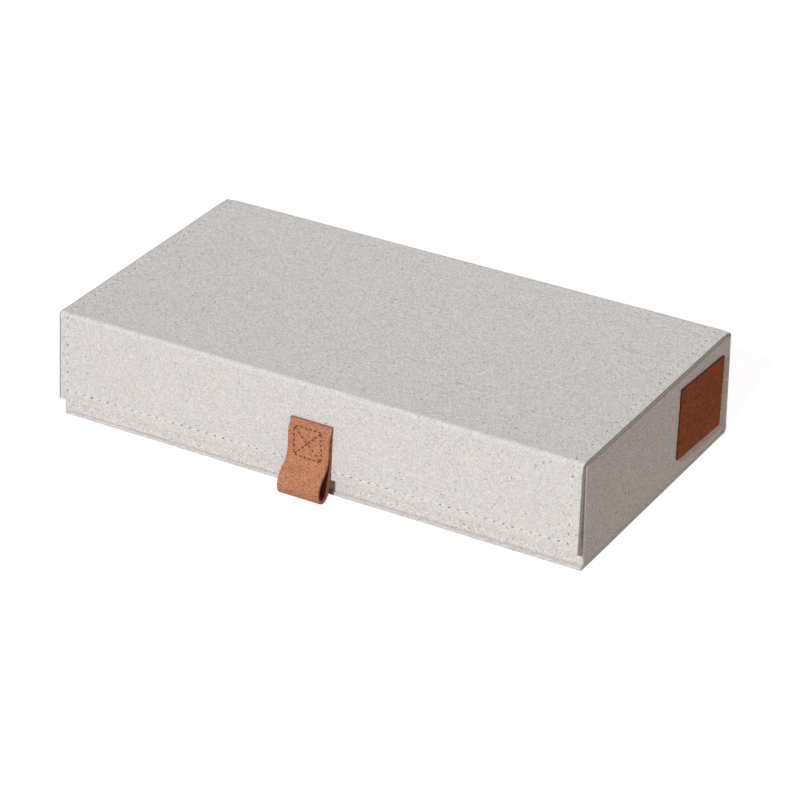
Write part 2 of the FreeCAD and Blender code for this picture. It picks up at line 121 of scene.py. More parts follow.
# Unevenness of the glued cloth and leather, and widths of the puffed folds, the pressed corners and a groove
CLOTH_WAVE = 0.16
TRAY_WAVE = 0.2
DIVIDER_WAVE = 0.12
LEATHER_WAVE = 0.05
FRONT_PUFF = 4.2
FRONT_PUFF_SHIFT = 1.5
BACK_PUFF = 5.0
BACK_PUFF_SHARE = 0.4
CORNER_PRESS = 1.0
CORNER_REACH = 7.0
CORNER_WIDTH = 6.0
GROOVE = 0.9
GROOVE_START = 3.0
GROOVE_END = 1.0

# Grid lines: how far apart they usually are, and their places on each side of a row of stitches
SPACING = 4.0
NEAR_ROW = np.array([-1.8, -1.2, -0.8, -0.4, 0, 0.4, 0.8, 1.2, 1.8])

# Painted shade along an edge, standing in for the shadow in the gap beside it: at which parts of the way from
# face to face, and how much of it. The tray's painted shade along its foot fades between two heights over the
# foot and is stronger at the right end
BASE_SHADE = ((0.0, 0.6, 0.8, 1.0), (0.0, 0.2, 0.95, 0.0))
COVER_SHADE = ((0.5, 0.8, 0.97, 1.0), (0.0, 0.95, 0.95, 0.0))
FOOT_SHADE = 0.4
TRAY_SHADE_LOW, TRAY_SHADE_HIGH = 0.2, 0.7
TRAY_SHADE_RIGHT, TRAY_SHADE_ELSEWHERE = 0.6, 0.05

# Threads are tubes and needle holes are dark discs of painted shade: their rings, and the points round a ring
# with its first again
THREAD_RINGS, THREAD_ROUND = 9, 7
HOLE_RINGS, HOLE_ROUND = 6, 9
THREAD_SINK = 0.3

# The cover's threads and holes: the gap between two threads, radii, and the spread of the holes' sizes
ROW_START = 3.5
THREAD_GAP = 1.9
THREAD_RADIUS = 0.26
THREAD_SKEW = 0.12
HOLE_RADIUS = 0.37
HOLE_HEIGHT = 0.09
HOLE_SMALLEST = 0.45
HOLE_LENGTHS = (1.2, 2.6)

# The strap: half its thickness, its width with the wave of its cut edges, and the arcs and places of its line
STRAP_HALF = 1.0
STRAP_WIDTH = 26.0
STRAP_EDGE_WAVE = 0.12
STRAP_EDGE_PACE = 0.13
STRAP_MIDDLE = 1.1
STRAP_SPACING = 1.5
STRAP_END_ROUND = 0.5
STRAP_CORNER = 0.6
LOOP_BULGE = 12.7
TIP_RADIUS = 4.8
FRONT_RADIUS = 12.3
NECK_RADIUS = 15.5
STEP_RADIUS = 6.0
BACK_END = 25.4
LOOP_START = 32.3
STRAP_TOP = 16.4

# The crossed square on the strap, as places sideways and down the flap, and its threads and holes
SEWN_CORNERS = np.array([(-8.2, 20.5), (8.8, 20.6), (9.8, 37.2), (-7.3, 36.6)])
TAB_THREAD_GAP = 1.15
TAB_THREAD_RADIUS = 0.36
TAB_HOLE_RADIUS = 0.2
TAB_HOLE_HEIGHT = 0.05

# The patch: half its length and height, its droop in degrees, and its shift back and up from the solid's
PATCH_HALF_LENGTH = 26.5
PATCH_HALF_HEIGHT = 21.4
PATCH_CORNER = 1.0
PATCH_EDGE = 0.4
PATCH_DROOP = 2.9
PATCH_SHIFT = np.array([1.3, -0.6])

# A gap this small keeps two faces from lying in one plane
HAIR = 0.02

# Lamps: degrees round from the front, degrees up, and metres from where they aim, and their colours
KEY_PLACE = (7.6, 33.3, 12.0)
TOP_PLACE = (180, 65, 1.0)
SIDE_PLACE = (90, 12, 2.4)
LAMP_AIM = Vector((0, 0, 0.03))
WHITE = (1, 1, 1)
TOP_COLOUR = (1, 0.88, 0.79)
SIDE_COLOUR = (1, 0.62, 0.42)

# The camera's place in metres, turns in degrees, lens, sensor, and how many metres it sees
CAMERA_PLACE = (0.8428373, -1.4301244, 0.9313680)
CAMERA_TURNS = (61.0762, -0.264712, 30.558403)
CAMERA_LENS = 152.8
CAMERA_SENSOR = 36.0
CAMERA_FAR = 50.0

# The floor: half its side in metres, and how far it lies below the box
FLOOR_HALF = 4.0
FLOOR_CORNERS = ((-1, -1), (1, -1), (1, 1), (-1, 1))
FLOOR_DROP = 0.05


# Shader maths


class Value:
    """A number in a shader. An expression on it adds its Math nodes to the tree."""

    def __init__(self, finish, socket):
        self.finish = finish
        self.socket = socket

    def math(self, operation, *values):
        sockets = dict(enumerate(values))
        return self.finish.node("ShaderNodeMath", {"operation": operation}, sockets)

    def __add__(self, other):
        return self.math("ADD", self, other)

    __radd__ = __add__

    def __sub__(self, other):
        return self.math("SUBTRACT", self, other)

    def __rsub__(self, other):
        return self.math("SUBTRACT", other, self)

    def __mul__(self, other):
        return self.math("MULTIPLY", self, other)

    __rmul__ = __mul__

    def sine(self):
        return self.math("SINE", self)

    def larger(self, other):
        return self.math("MAXIMUM", self, other)

    def rise(self, low, high):
        """0 below low, 1 above high, smooth between."""
        settings = {"interpolation_type": "SMOOTHSTEP"}
        sockets = {"Value": self, "From Min": low, "From Max": high}
        return self.finish.node("ShaderNodeMapRange", settings, sockets)


class Finish:
    """One procedural material: a Principled shader and the nodes that feed it."""

    def __init__(self, name, roughness=0.8, **constants):
        self.material = bpy.data.materials.new(name)
        self.material.use_nodes = True
        self.tree = self.material.node_tree
        self.tree.nodes.clear()
        self.shader = self.tree.nodes.new("ShaderNodeBsdfPrincipled")
        self.output = self.tree.nodes.new("ShaderNodeOutputMaterial")
        self.tree.links.new(self.shader.outputs[0], self.output.inputs["Surface"])
        self.feed(self.shader, {"Roughness": roughness, **constants})

    def feed(self, node, sockets):
        """Sets a node's sockets, by name or number, to numbers, colours or links."""
        for key, value in sockets.items():
            entry = node.inputs[key]
            if isinstance(value, Value):
                self.tree.links.new(value.socket, entry)
            elif entry.type == "RGBA" and len(value) == 3:
                entry.default_value = (*value, 1.0)
            else:
                entry.default_value = value

    def node(self, kind, settings=None, sockets=None, output=0):
        """Any node: its settings are made first, then its sockets are fed."""
        node = self.tree.nodes.new(kind)
        for key, value in (settings or {}).items():
            setattr(node, key, value)
        self.feed(node, sockets or {})
        return Value(self, node.outputs[output])

    def place(self):
        """Object coordinates, in metres."""
        return self.node("ShaderNodeTexCoord", output="Object")

    def along_cloth(self):
        """The cloth's own coordinates, in metres, which go round every fold."""
        return self.node("ShaderNodeUVMap", {"uv_map": "cloth"})

    def side(self):
        """What make_mesh stored at each point: how much painted shade a cover has, or which face of leather it
        is.
        """
        return self.node("ShaderNodeAttribute", {"attribute_name": "side"}, output="Fac")

    def parts(self, vector):
        """The three numbers of a vector."""
        split = self.node("ShaderNodeSeparateXYZ", sockets={"Vector": vector})
        outputs = split.socket.node.outputs
        return [Value(self, socket) for socket in outputs]

    def stretch(self, vector, factors):
        """The vector times three factors, so that a pattern is longer one way."""
        return self.node("ShaderNodeVectorMath", {"operation": "MULTIPLY"}, {0: vector, 1: factors})

    def noise(self, vector, scale=1.0, detail=2.0, roughness=0.5):
        sockets = {"Vector": vector, "Scale": scale, "Detail": detail, "Roughness": roughness}
        return self.node("ShaderNodeTexNoise", sockets=sockets)

    def cell_edges(self, vector, scale):
        """How far the nearest edge between two cells is."""
        settings = {"feature": "DISTANCE_TO_EDGE"}
        return self.node("ShaderNodeTexVoronoi", settings, {"Vector": vector, "Scale": scale})

    def chips(self, vector, scale=1.0):
        """One random number from 0 to 1 for each cell."""
        sockets = {"Vector": vector, "Scale": scale}
        return self.parts(self.node("ShaderNodeTexVoronoi", sockets=sockets, output="Color"))[0]

    def flecks(self, vector, factors, share):
        """Small spots with firm edges in a random share of the cells of a stretched pattern."""
        sockets = {"Vector": self.stretch(vector, factors), "Scale": 1.0}
        cell = self.node("ShaderNodeTexVoronoi", sockets=sockets).socket.node.outputs
        picked = self.parts(Value(self, cell["Color"]))[1].rise(1 - share, 1 - share * 0.3)
        return picked * Value(self, cell["Distance"]).rise(0.66, 0.5)

    def mix(self, factor, first, second, blend="MIX"):
        """A colour between two, or one colour blended over another."""
        settings = {"data_type": "RGBA", "blend_type": blend}
        return self.node("ShaderNodeMix", settings, {0: factor, 6: first, 7: second}, output=2)

    def shade(self, colour, amount):
        """A colour times a number."""
        grey = self.node("ShaderNodeCombineXYZ", sockets={0: amount, 1: amount, 2: amount})
        return self.mix(1.0, colour, grey, "MULTIPLY")

    def wear(self, colour, roughness=None, height=None, depth=0.0001):
        """Links what varies: the colour, the roughness and a bump of that depth in metres."""
        self.feed(self.shader, {"Base Color": colour})
        if roughness is not None:
            self.feed(self.shader, {"Roughness": roughness})
        if height is not None:
            sockets = {"Height": height, "Distance": depth, "Strength": 1.0}
            self.feed(self.shader, {"Normal": self.node("ShaderNodeBump", sockets=sockets)})
        return self.material


def scaled(colour, factor):
    """A colour times one number, or times three."""
    return tuple(np.multiply(colour, factor).tolist())


# Finishes

# Canvas grains, yarns and flecks in cells per metre across and along, and the share of cells with a fleck
GRAINS = (1650, 1350, 1)
CROSSINGS = (1500, 1900, 1)
WARP = (1500, 420, 1)
WEFT = (420, 1500, 1)
FLECKS = (((560, 1600, 1), 0.005), ((1600, 560, 1), 0.005), ((1250, 1250, 1), 0.009))
WARMER = (1.0, 0.988, 0.965)


def canvas_finish(name, colour, fleck_colour, painted_shade_colour, coarseness=1.0):
    """Unbleached canvas: uneven grains and yarns, small dark flecks, faint mottling, and painted shade along
    edges and gaps.

    The colour is multiplied by 1 + weighted sums of random cells and noises, each less its own mean.
    """
    finish = Finish(name, roughness=0.95, **{"Sheen Weight": 0.05, "Specular IOR Level": 0.1})
    cloth = finish.along_cloth()
    grain = finish.chips(finish.stretch(cloth, GRAINS))
    crossings = finish.chips(finish.stretch(cloth, CROSSINGS))
    fuzz = finish.noise(cloth, 1800, detail=1, roughness=0.7)
    yarns = finish.chips(finish.stretch(cloth, WARP)) + finish.chips(finish.stretch(cloth, WEFT))
    mottle = finish.noise(cloth, 110, detail=3)
    patches = finish.noise(cloth, 24, detail=2)
    rough = (grain + crossings - 1) * 0.27 + (fuzz - 0.5) * 0.35 + (yarns - 1) * 0.03
    tone = 1 + rough * coarseness + (mottle - 0.5) * 0.03 + (patches - 0.5) * 0.03
    base = finish.shade(finish.mix(patches.rise(0.35, 0.7) * 0.35, colour, scaled(colour, WARMER)), tone)
    for shape, share in FLECKS:
        base = finish.mix(finish.flecks(cloth, shape, share) * min(0.7 * coarseness, 1), base, fleck_colour)
    # Painted shade: the side attribute mixes in a dark colour along edges and gaps, where shadow falls
    base = finish.mix(finish.side(), base, painted_shade_colour)
    height = (grain + crossings) * 0.5 + fuzz * 0.7 + yarns * 0.3
    return finish.wear(base, height=height, depth=0.00008)


def lining_finish(name, colour):
    """Brushed lining: short pile that lies in soft streaks, without a weave."""
    finish = Finish(name, roughness=0.95, **{"Sheen Weight": 0.35, "Specular IOR Level": 0.2})
    place = finish.place()
    pile = finish.noise(place, 2200, detail=2, roughness=0.7)
    brushed = finish.noise(finish.stretch(place, (60, 60, 220)), detail=3)
    clouds = finish.noise(place, 28, detail=2)
    tone = 1 + (pile - 0.5) * 0.35 + (brushed - 0.5) * 0.22 + (clouds - 0.5) * 0.16
    return finish.wear(finish.shade(colour, tone), height=pile + brushed, depth=0.00012)


def board_finish(name, colour):
    """Grey board: pressed fibres with darker and paler bits."""
    finish = Finish(name, roughness=0.9)
    place = finish.place()
    fibre = finish.noise(place, 900, detail=4, roughness=0.7)
    bits = finish.noise(place, 420, detail=1).rise(0.66, 0.74)
    tone = 1 + (fibre - 0.5) * 0.5 + bits * 0.3
    return finish.wear(finish.shade(colour, tone), height=fibre, depth=0.00006)


def suede_finish(name, colour, edge_colour, inner_shade_colour):
    """Brushed leather: nap, tufts, soft clouds, small pits, darker cut edges, and on the inner side a dark
    red-brown that is painted shade inside the loop.
    """
    finish = Finish(name, roughness=0.88, **{"Sheen Weight": 0.1, "Specular IOR Level": 0.15})
    place = finish.place()
    side = finish.side()
    nap = finish.noise(place, 1900, detail=3, roughness=0.75)
    tufts = finish.chips(place, 1900)
    coarse = finish.noise(place, 520, detail=2)
    clouds = finish.noise(place, 120, detail=3)
    tone = 1 + (nap - 0.5) * 1.5 + (tufts - 0.5) * 0.7 + (coarse - 0.5) * 0.2 + (clouds - 0.5) * 0.35
    # The inner side's dark red-brown is painted shade inside the loop
    base = finish.mix(side.rise(-0.9, -0.55), inner_shade_colour, edge_colour)
    base = finish.mix(side.rise(0.55, 0.9), base, colour)
    pits = finish.noise(place, 900, detail=1).rise(0.66, 0.76)
    base = finish.mix(pits * 0.4, finish.shade(base, tone), scaled(colour, 0.4))
    return finish.wear(base, height=nap + coarse * 0.7, depth=0.00013)


def patch_finish(name, colour):
    """Tanned leather: grain cells, fine pores, soft clouds and streaks, darker scuffs, and dark edges that are
    partly the cut edge's colour and partly painted shade along the edge.
    """
    finish = Finish(name, **{"Specular IOR Level": 0.1})
    place = finish.place()
    side = finish.side()
    grain = finish.cell_edges(place, 1150).rise(0.0, 0.25)
    pores = finish.noise(place, 1500, detail=3, roughness=0.75)
    chips = finish.chips(place, 1200)
    clouds = finish.noise(place, 110, detail=3)
    streaks = finish.noise(finish.stretch(place, (200, 150, 520)), detail=3, roughness=0.65)
    scuffs = finish.noise(finish.stretch(place, (400, 260, 760)), detail=3).rise(0.54, 0.72)
    tone = 1 + (grain - 0.5) * 0.3 + (pores - 0.5) * 3.0 + (chips - 0.5) * 0.9 + (clouds - 0.5) * 1.2
    tone = tone + (streaks - 0.5) * 0.8
    # Dark edges: partly the cut edge's own colour, partly painted shade along the edge
    base = finish.mix(side.rise(0.6, 0.98), scaled(colour, 0.3), colour)
    base = finish.shade(base, (tone - scuffs * 0.3).larger(0.25))
    return finish.wear(base, 0.65 + clouds * 0.15, grain * 0.8 + pores * 0.6, depth=0.00008)


def thread_finish(name, colour, roughness=0.7):
    """Twisted thread: its plies are a sine of the way round plus the way along, in its own coordinates."""
    finish = Finish(name, roughness=roughness)
    around, along, _ = finish.parts(finish.along_cloth())
    ply = ((around * 2 * math.pi * 3) + along * 6200).sine() * 0.5 + 0.5
    fuzz = finish.noise(finish.place(), 3000, detail=1)
    tone = 0.82 + ply * 0.22 + (fuzz - 0.5) * 0.3
    return finish.wear(finish.shade(colour, tone), height=ply, depth=0.00006)


def hole_finish(name, colour):
    """Painted shade for a needle hole: the colour of a dark disc that stands in for the shadow inside the
    hole, a little uneven.
    """
    finish = Finish(name, roughness=1.0, **{"Specular IOR Level": 0.0})
    fuzz = finish.noise(finish.place(), 3500, detail=1)
    return finish.wear(finish.shade(colour, 0.7 + fuzz * 0.6))


def seen_straight(tree):
    """1 for what the camera sees, also in a gloss or through glass, and 0 for light on a surface."""
    rays = tree.nodes.new("ShaderNodeLightPath")
    seen = rays.outputs["Is Camera Ray"]
    for other in ("Is Glossy Ray", "Is Transmission Ray"):
        either = tree.nodes.new("ShaderNodeMath")
        either.operation = "MAXIMUM"
        tree.links.new(seen, either.inputs[0])
        tree.links.new(rays.outputs[other], either.inputs[1])
        seen = either.outputs[0]
    return seen


def blend_shaders(tree, share, first, second, output):
    """Mixes two shaders by a share of the second, and links them to the output."""
    blend = tree.nodes.new("ShaderNodeMixShader")
    tree.links.new(share, blend.inputs[0])
    tree.links.new(first.outputs[0], blend.inputs[1])
    tree.links.new(second.outputs[0], blend.inputs[2])
    tree.links.new(blend.outputs[0], output.inputs["Surface"])


def floor_finish(name, colour, glow):
    """Paper that shows white to the camera with a faint shadow, and lights the box by its own colour."""
    finish = Finish(name, roughness=1.0, **{"Specular IOR Level": 0.0})
    tree = finish.tree
    seen = Value(finish, seen_straight(tree))
    fibre = finish.noise(finish.place(), 300, detail=2)
    finish.wear(finish.shade(colour, 0.99 + fibre * 0.02))
    lit = tree.nodes.new("ShaderNodeEmission")
    lit.inputs["Color"].default_value = (*WHITE, 1)
    lit.inputs["Strength"].default_value = glow
    blend_shaders(tree, (seen * 0.8).socket, finish.shader, lit, finish.output)
    return finish.material


# Surfaces


def merged(*groups):
    """Distances from several lists as one, in order and without doubles."""
    return np.unique(np.round(np.concatenate(groups), 4))


class Route:
    """A line in a plane, made of runs and arcs, each leaving in the direction the last one arrived."""

    def __init__(self, start, heading=0.0):
        self.places = [np.array(start, float)]
        self.headings = [math.radians(heading)]
        self.starts = [0.0]
        self.bends = []

    def go(self, length, turn=0.0):
        """Adds a run, or an arc that turns left by so many degrees over its length."""
        self.bends.append(math.radians(turn) / length)
        place, heading = self.step(len(self.bends) - 1, length)
        self.places.append(place)
        self.headings.append(heading)
        self.starts.append(self.starts[-1] + length)
        return self

    def bow(self, radius, turn):
        """Adds an arc of that radius that turns left by so many degrees, or right where they are negative."""
        return self.go(radius * math.radians(abs(turn)), turn)

    def step(self, part, gone):
        """Place and heading a distance into a part. An arc's chord is its length times sin(a/2)/(a/2)."""
        half = np.array(self.bends)[part] * gone / 2
        heading = np.array(self.headings)[part]
        chord = gone * np.sinc(half / np.pi)
        way = np.stack([np.cos(heading + half), np.sin(heading + half)], -1)
        return np.array(self.places)[part] + chord[..., None] * way, heading + 2 * half

    def at(self, distance):
        """Places at those distances, and the direction to the right of travel."""
        distance = np.asarray(distance, float)
        part = np.searchsorted(self.starts, distance, "right") - 1
        part = np.clip(part, 0, len(self.bends) - 1)
        place, heading = self.step(part, distance - np.array(self.starts)[part])
        return place, np.stack([np.sin(heading), -np.cos(heading)], -1)

    def marks(self, first, last, spacing=SPACING, arc_spacing=0.45, near=()):
        """Distances to cut the line at: even on runs, close on arcs, and near parts' ends and given places."""
        marks = []
        for start, end, bend in zip(self.starts[:-1], self.starts[1:], self.bends):
            step = arc_spacing if bend else spacing
            marks += list(np.linspace(start, end, max(2, math.ceil((end - start) / step) + 1)))
            marks += [start + 0.4, end - 0.4]
        marks = merged(marks, *(place + NEAR_ROW for place in near))
        marks = marks[(marks > first + 0.01) & (marks < last - 0.01)]
        return np.concatenate([[first], marks, [last]])

    def all_marks(self, spacing=SPACING, arc_spacing=0.45):
        """The same for the whole line."""
        return self.marks(0, self.starts[-1], spacing, arc_spacing)


def rounded(distance, reach, power=0.5):
    """0 at an end, 1 from reach on, along a quarter circle, or squarer with a lower power."""
    gone = np.clip(distance / reach, 0, 1)
    return np.clip(1 - (1 - gone) ** 2, 0, 1) ** power


def end_marks(reach, count=7):
    """Distances from an end that are close where the quarter circle is steep."""
    return reach * (1 - np.cos(np.linspace(0, np.pi / 2, count)))


def cross_section(across, corner=1.0, count=8):
    """The loop round a padded sheet as three arrays: how far across the flat, and the corner's two parts.

    A point lies at across * (half width - half thickness) + corner part * half thickness sideways,
    and rise * half thickness up. The corner is a half circle, or squarer with a lower power.
    """
    angle = np.linspace(np.pi / 2, -np.pi / 2, count + 1)[1:-1]
    bow = np.abs(np.cos(angle)) ** corner
    rise = np.sign(np.sin(angle)) * np.abs(np.sin(angle)) ** corner
    flat = np.zeros(len(across))
    sideways = np.concatenate([flat, bow, flat, -bow, [0]])
    up = np.concatenate([flat + 1, rise, flat - 1, -rise, [1]])
    part = np.concatenate([across, np.ones(len(bow)), across[::-1], -np.ones(len(bow)), [across[0]]])
    return part, sideways, up


def wrap(route, distance, half_width, outer, inner, across, middle=0.0, corner=1.0, relief=None):
    """A closed sheet along a route: at each distance the cross-section's loop, between two depths.

    Depth is measured to the left of travel. relief(x, distance) lifts the outer face to the right.
    Returns points as (sideways, plane x, plane y), the cloth's coordinates, and which side a point is on.
    """
    distance = np.asarray(distance, float)
    spans = (half_width, outer, inner, middle)
    half_width, outer, inner, middle = (np.broadcast_to(span, distance.shape)[:, None] for span in spans)
    part, sideways, up = cross_section(across, corner)
    half = (inner - outer) / 2
    x = middle + part * (half_width - half) + sideways * half
    depth = (inner + outer) / 2 - up * half
    if relief is not None:
        depth = depth - relief(x, distance[:, None]) * np.clip(up, 0, 1)
    place, right = route.at(distance)
    plane = place[:, None] - depth[..., None] * right[:, None]
    points = np.concatenate([x[..., None], plane], -1)
    gaps = np.linalg.norm(np.diff(points, axis=1), axis=-1)
    unrolled = np.cumsum(np.concatenate([x[:, :1], gaps], 1), 1)
    cloth = np.stack([unrolled, np.broadcast_to(distance[:, None], unrolled.shape)], -1)
    return points, cloth, np.broadcast_to(up, unrolled.shape)


def spread(half, spacing=SPACING, near=()):
    """Fractions from -1 to 1 across a flat, with close lines at both edges and round the given places."""
    marks = list(np.linspace(-half, half, math.ceil(2 * half / spacing) + 1))
    marks += [0.3 - half, 0.9 - half, half - 0.9, half - 0.3]
    for place in near:
        marks += list(place + NEAR_ROW)
    marks = np.unique(np.round(marks, 3))
    return marks[(marks >= -half) & (marks <= half)] / half


def grid_faces(rows, columns, count=1):
    """The corner numbers of the four-sided faces of so many grids, one after another."""
    index = np.arange(rows * columns).reshape(rows, columns)
    faces = np.stack([index[:-1, :-1], index[1:, :-1], index[1:, 1:], index[:-1, 1:]], -1).reshape(-1, 4)
    first = np.arange(count) * rows * columns
    return (faces + first[:, None, None]).reshape(-1, 4)


def add_object(name, data):
    """A new object with that data, in the scene."""
    item = bpy.data.objects.new(name, data)
    bpy.context.scene.collection.objects.link(item)
    return item


def make_mesh(name, points, faces, material, cloth=None, side=None):
    """A closed piece from points in millimetres. Its faces are turned outwards and its seams joined."""
    points = np.asarray(points, float).reshape(-1, 3)
    faces = np.asarray(faces)
    corner = [points[faces[:, k]] for k in range(4)]
    volume = sum((corner[0] * np.cross(corner[a], corner[b])).sum() for a, b in ((1, 2), (2, 3)))
    if volume < 0:
        faces = faces[:, ::-1]
    mesh = bpy.data.meshes.new(name)
    mesh.from_pydata((points * MM).tolist(), [], faces.tolist())
    if cloth is not None:
        layer = mesh.uv_layers.new(name="cloth")
        values = (np.asarray(cloth, float).reshape(-1, 2) * MM)[faces.ravel()]
        layer.data.foreach_set("uv", values.astype(np.float32).ravel())
    if side is not None:
        layer = mesh.attributes.new("side", "FLOAT", "POINT")
        layer.data.foreach_set("value", np.asarray(side, np.float32).ravel())
    shape = bmesh.new()
    shape.from_mesh(mesh)
    bmesh.ops.remove_doubles(shape, verts=shape.verts, dist=2e-6)
    bmesh.ops.dissolve_degenerate(shape, edges=shape.edges, dist=1e-7)
    shape.to_mesh(mesh)
    shape.free()
    mesh.materials.append(material)
    mesh.shade_smooth()
    return add_object(name, mesh)


def grid_piece(name, grid, material, axes=(0, 1, 2)):
    """A piece from one grid of points, with its plane turned to the given axes."""
    points, cloth, side = grid
    placed = np.empty_like(points)
    for source, target in enumerate(axes):
        placed[..., target] = points[..., source]
    return make_mesh(name, placed, grid_faces(*points.shape[:2]), material, cloth, side)


# The cover's line, seen from the left end: under the base, up the spine, over the lid, down the flap.
# The front fold is creased sharper than the solid's, so the flats beside it run on by EASE
EASE = (FLAP_FOLD - FLAP_CREASE) * math.tan(math.radians(90 - FLAP_LEAN) / 2)
COVER = Route((BASE_LOW[1], BASE_LOW[2]))
COVER.go(SPINE_HIGH[1] - BASE_FOLD - BASE_LOW[1])
COVER.bow(BASE_FOLD, 90)
COVER.go(LID_HIGH[2] - LID_FOLD - BASE_FOLD)
COVER.bow(LID_FOLD, 90)
COVER.go(SPINE_HIGH[1] - LID_FOLD - FRONT_FOLD_Y + EASE)
COVER.bow(FLAP_CREASE, 90 - FLAP_LEAN)
COVER.go(FLAP_LENGTH + EASE)
BASE_END, SPINE_START, SPINE_END, LID_START, LID_END, FLAP_TOP, FLAP_FOOT = COVER.starts[1:]
CREASE_START, CREASE_END = LID_END - EASE, FLAP_TOP + EASE
# Here the lid's piece of the cover ends and the flap's begins
FLAP_CUT = CREASE_START - SEAM_OVERLAP


def bend(first, last):
    """The stretch over which a fold bends, between the inner faces of the two boards beside it, in metres."""
    (start, end), (right_start, right_end) = COVER.at([first, last])
    way = (end - start) / np.linalg.norm(end - start)
    start = start - way * (right_start @ way) * PANEL
    end = end - way * (right_end @ way) * PANEL
    return {"start": (0, *(start * MM).tolist()), "end": (0, *(end * MM).tolist())}


FRONT_BEND = bend(CREASE_START, CREASE_END)
BACK_BEND = bend(SPINE_END, LID_START)

WAVES = np.random.default_rng(7)
WAVE_TURNS = WAVES.uniform(0, 2 * np.pi, (7, 2))
WAVE_PACES = WAVES.uniform(0.02, 0.11, (7, 2))


def waves(x, distance):
    """Slight unevenness of glued cloth: the mean of seven products of a sine across and a sine along."""
    total = 0
    for (turn_x, turn_s), (pace_x, pace_s) in zip(WAVE_TURNS, WAVE_PACES):
        total = total + np.sin(x * pace_x + turn_x) * np.sin(distance * pace_s + turn_s)
    return total / len(WAVE_TURNS)


def bell(distance, width):
    """A soft hump, e to the minus square of distance over width: near 0 from twice the width on."""
    return np.exp(-((distance / width) ** 2))


def stitch_lines(settings):
    """Where the rows of stitches run: two across positions, and the foot row's distance and slope."""
    right = LID_HIGH[0] - settings.stitch_inset_right / MM
    left = LID_LOW[0] + settings.stitch_inset_left / MM
    return left, right, FLAP_FOOT - settings.stitch_inset_foot / MM, settings.foot_row_slope


def cover_relief(settings):
    """How far the cloth stands off its line.

    It is the sum of waves, a bell along each fold, a bell pressed in at the lid's back corners, and a narrow
    bell drawn in along each row of stitches.
    """
    left, right, foot, slope = stitch_lines(settings)
    puff = settings.fold_rise / MM
    groove = settings.stitch_draw / MM

    def relief(x, distance):
        height = CLOTH_WAVE * waves(x, distance)
        # The folds' puff varies along them, in waves of its own
        uneven = 1 + 0.5 * waves(x * 3.1 + 40, 60)
        from_front = distance - (LID_END + FLAP_TOP) / 2 + FRONT_PUFF_SHIFT
        height = height + puff * uneven * bell(from_front, FRONT_PUFF)
        from_back = distance - (SPINE_END + LID_START) / 2
        height = height + BACK_PUFF_SHARE * puff * uneven * bell(from_back, BACK_PUFF)
        corner = 1 - rounded(LID_HIGH[0] - np.abs(x), CORNER_REACH)
        height = height - CORNER_PRESS * corner * bell(from_back, CORNER_WIDTH)
        sewn = rounded(distance - LID_START, GROOVE_START)
        height = height - groove * sewn * (bell(x - left, GROOVE) + bell(x - right, GROOVE))
        between = rounded(x - left, GROOVE_END) * rounded(right - x, GROOVE_END)
        return height - groove * between * bell(distance - foot - slope * x, GROOVE)

    return relief


def cover_edges(distance):
    """Where the cover's left and right edges lie: straight along each board, drawn over at the folds."""
    places = [BASE_END, SPINE_START, SPINE_END, LID_START, LID_END, FLAP_TOP, FLAP_FOOT]
    left = [BASE_LOW[0], SPINE_LOW[0], SPINE_LOW[0], LID_LOW[0], LID_LOW[0], LID_LOW[0], LID_LOW[0]]
    right = [BASE_HIGH[0], SPINE_HIGH[0], SPINE_HIGH[0], LID_HIGH[0], LID_HIGH[0]]
    right += [LID_HIGH[0] - FLAP_SHORT, LID_HIGH[0] + FLAP_FLARE]
    return np.interp(distance, places, left), np.interp(distance, places, right)


def cover_depth(distance):
    """How thick the cover is: a board between two cloths, and two cloths alone at the folds.

    The one passes into the other as 3 g squared less 2 g cubed, for g from 0 to 1 over the thinning.
    """
    thick = np.full(distance.shape, PANEL)
    for first, last in ((BASE_END, SPINE_START), (SPINE_END, LID_START), (CREASE_START, CREASE_END)):
        off = np.maximum(first - distance, distance - last)
        gone = np.clip(off / FOLD_THINNING, 0, 1)
        thick = np.minimum(thick, DOUBLE_CLOTH + (PANEL - DOUBLE_CLOTH) * gone * gone * (3 - 2 * gone))
    return thick


def cover_piece(name, first, last, material, settings, near=()):
    """One stretch of the cover, carried along its line. A free end is rounded, and so are its two corners."""
    free = [end for end in (0.0, FLAP_FOOT) if first <= end <= last]
    groups = [COVER.marks(first, last, near=near)]
    for end in free:
        inward = 1 if end == first else -1
        groups += [end + inward * end_marks(reach) for reach in (END_ROUND, END_CORNER)]
    distance = merged(*groups)
    thick = cover_depth(distance)
    outer = np.zeros(distance.shape)
    left, right = cover_edges(distance)
    middle = (left + right) / 2
    width = (right - left) / 2
    for end in free:
        away = np.abs(distance - end)
        shrink = thick / 2 * (1 - rounded(away, END_ROUND))
        outer = outer + shrink
        thick = thick - shrink
        width = width - END_CORNER * (1 - rounded(away, END_CORNER))
    rows = np.array(stitch_lines(settings)[:2]) - (LID_LOW[0] + LID_HIGH[0]) / 2
    across = spread(width.max() - PANEL / 2, near=rows)
    relief = cover_relief(settings)
    points, cloth, up = wrap(COVER, distance, width, outer, thick, across, middle, SQUARE_EDGE, relief)
    # Painted shade on the side faces of the base and the other pieces, where they stand over gaps in shadow
    if first == 0:
        shade = np.interp(np.abs(up), *BASE_SHADE)
    else:
        # A painted shadow line along the flap's lower edge, where the flap's shadow falls on the tray
        at_foot = FOOT_SHADE * (distance > FLAP_FOOT - 0.3)
        shade = np.maximum(np.interp(up, *COVER_SHADE), at_foot[:, None] * (up > 0.99))
    return grid_piece(name, (points, cloth, shade), material)


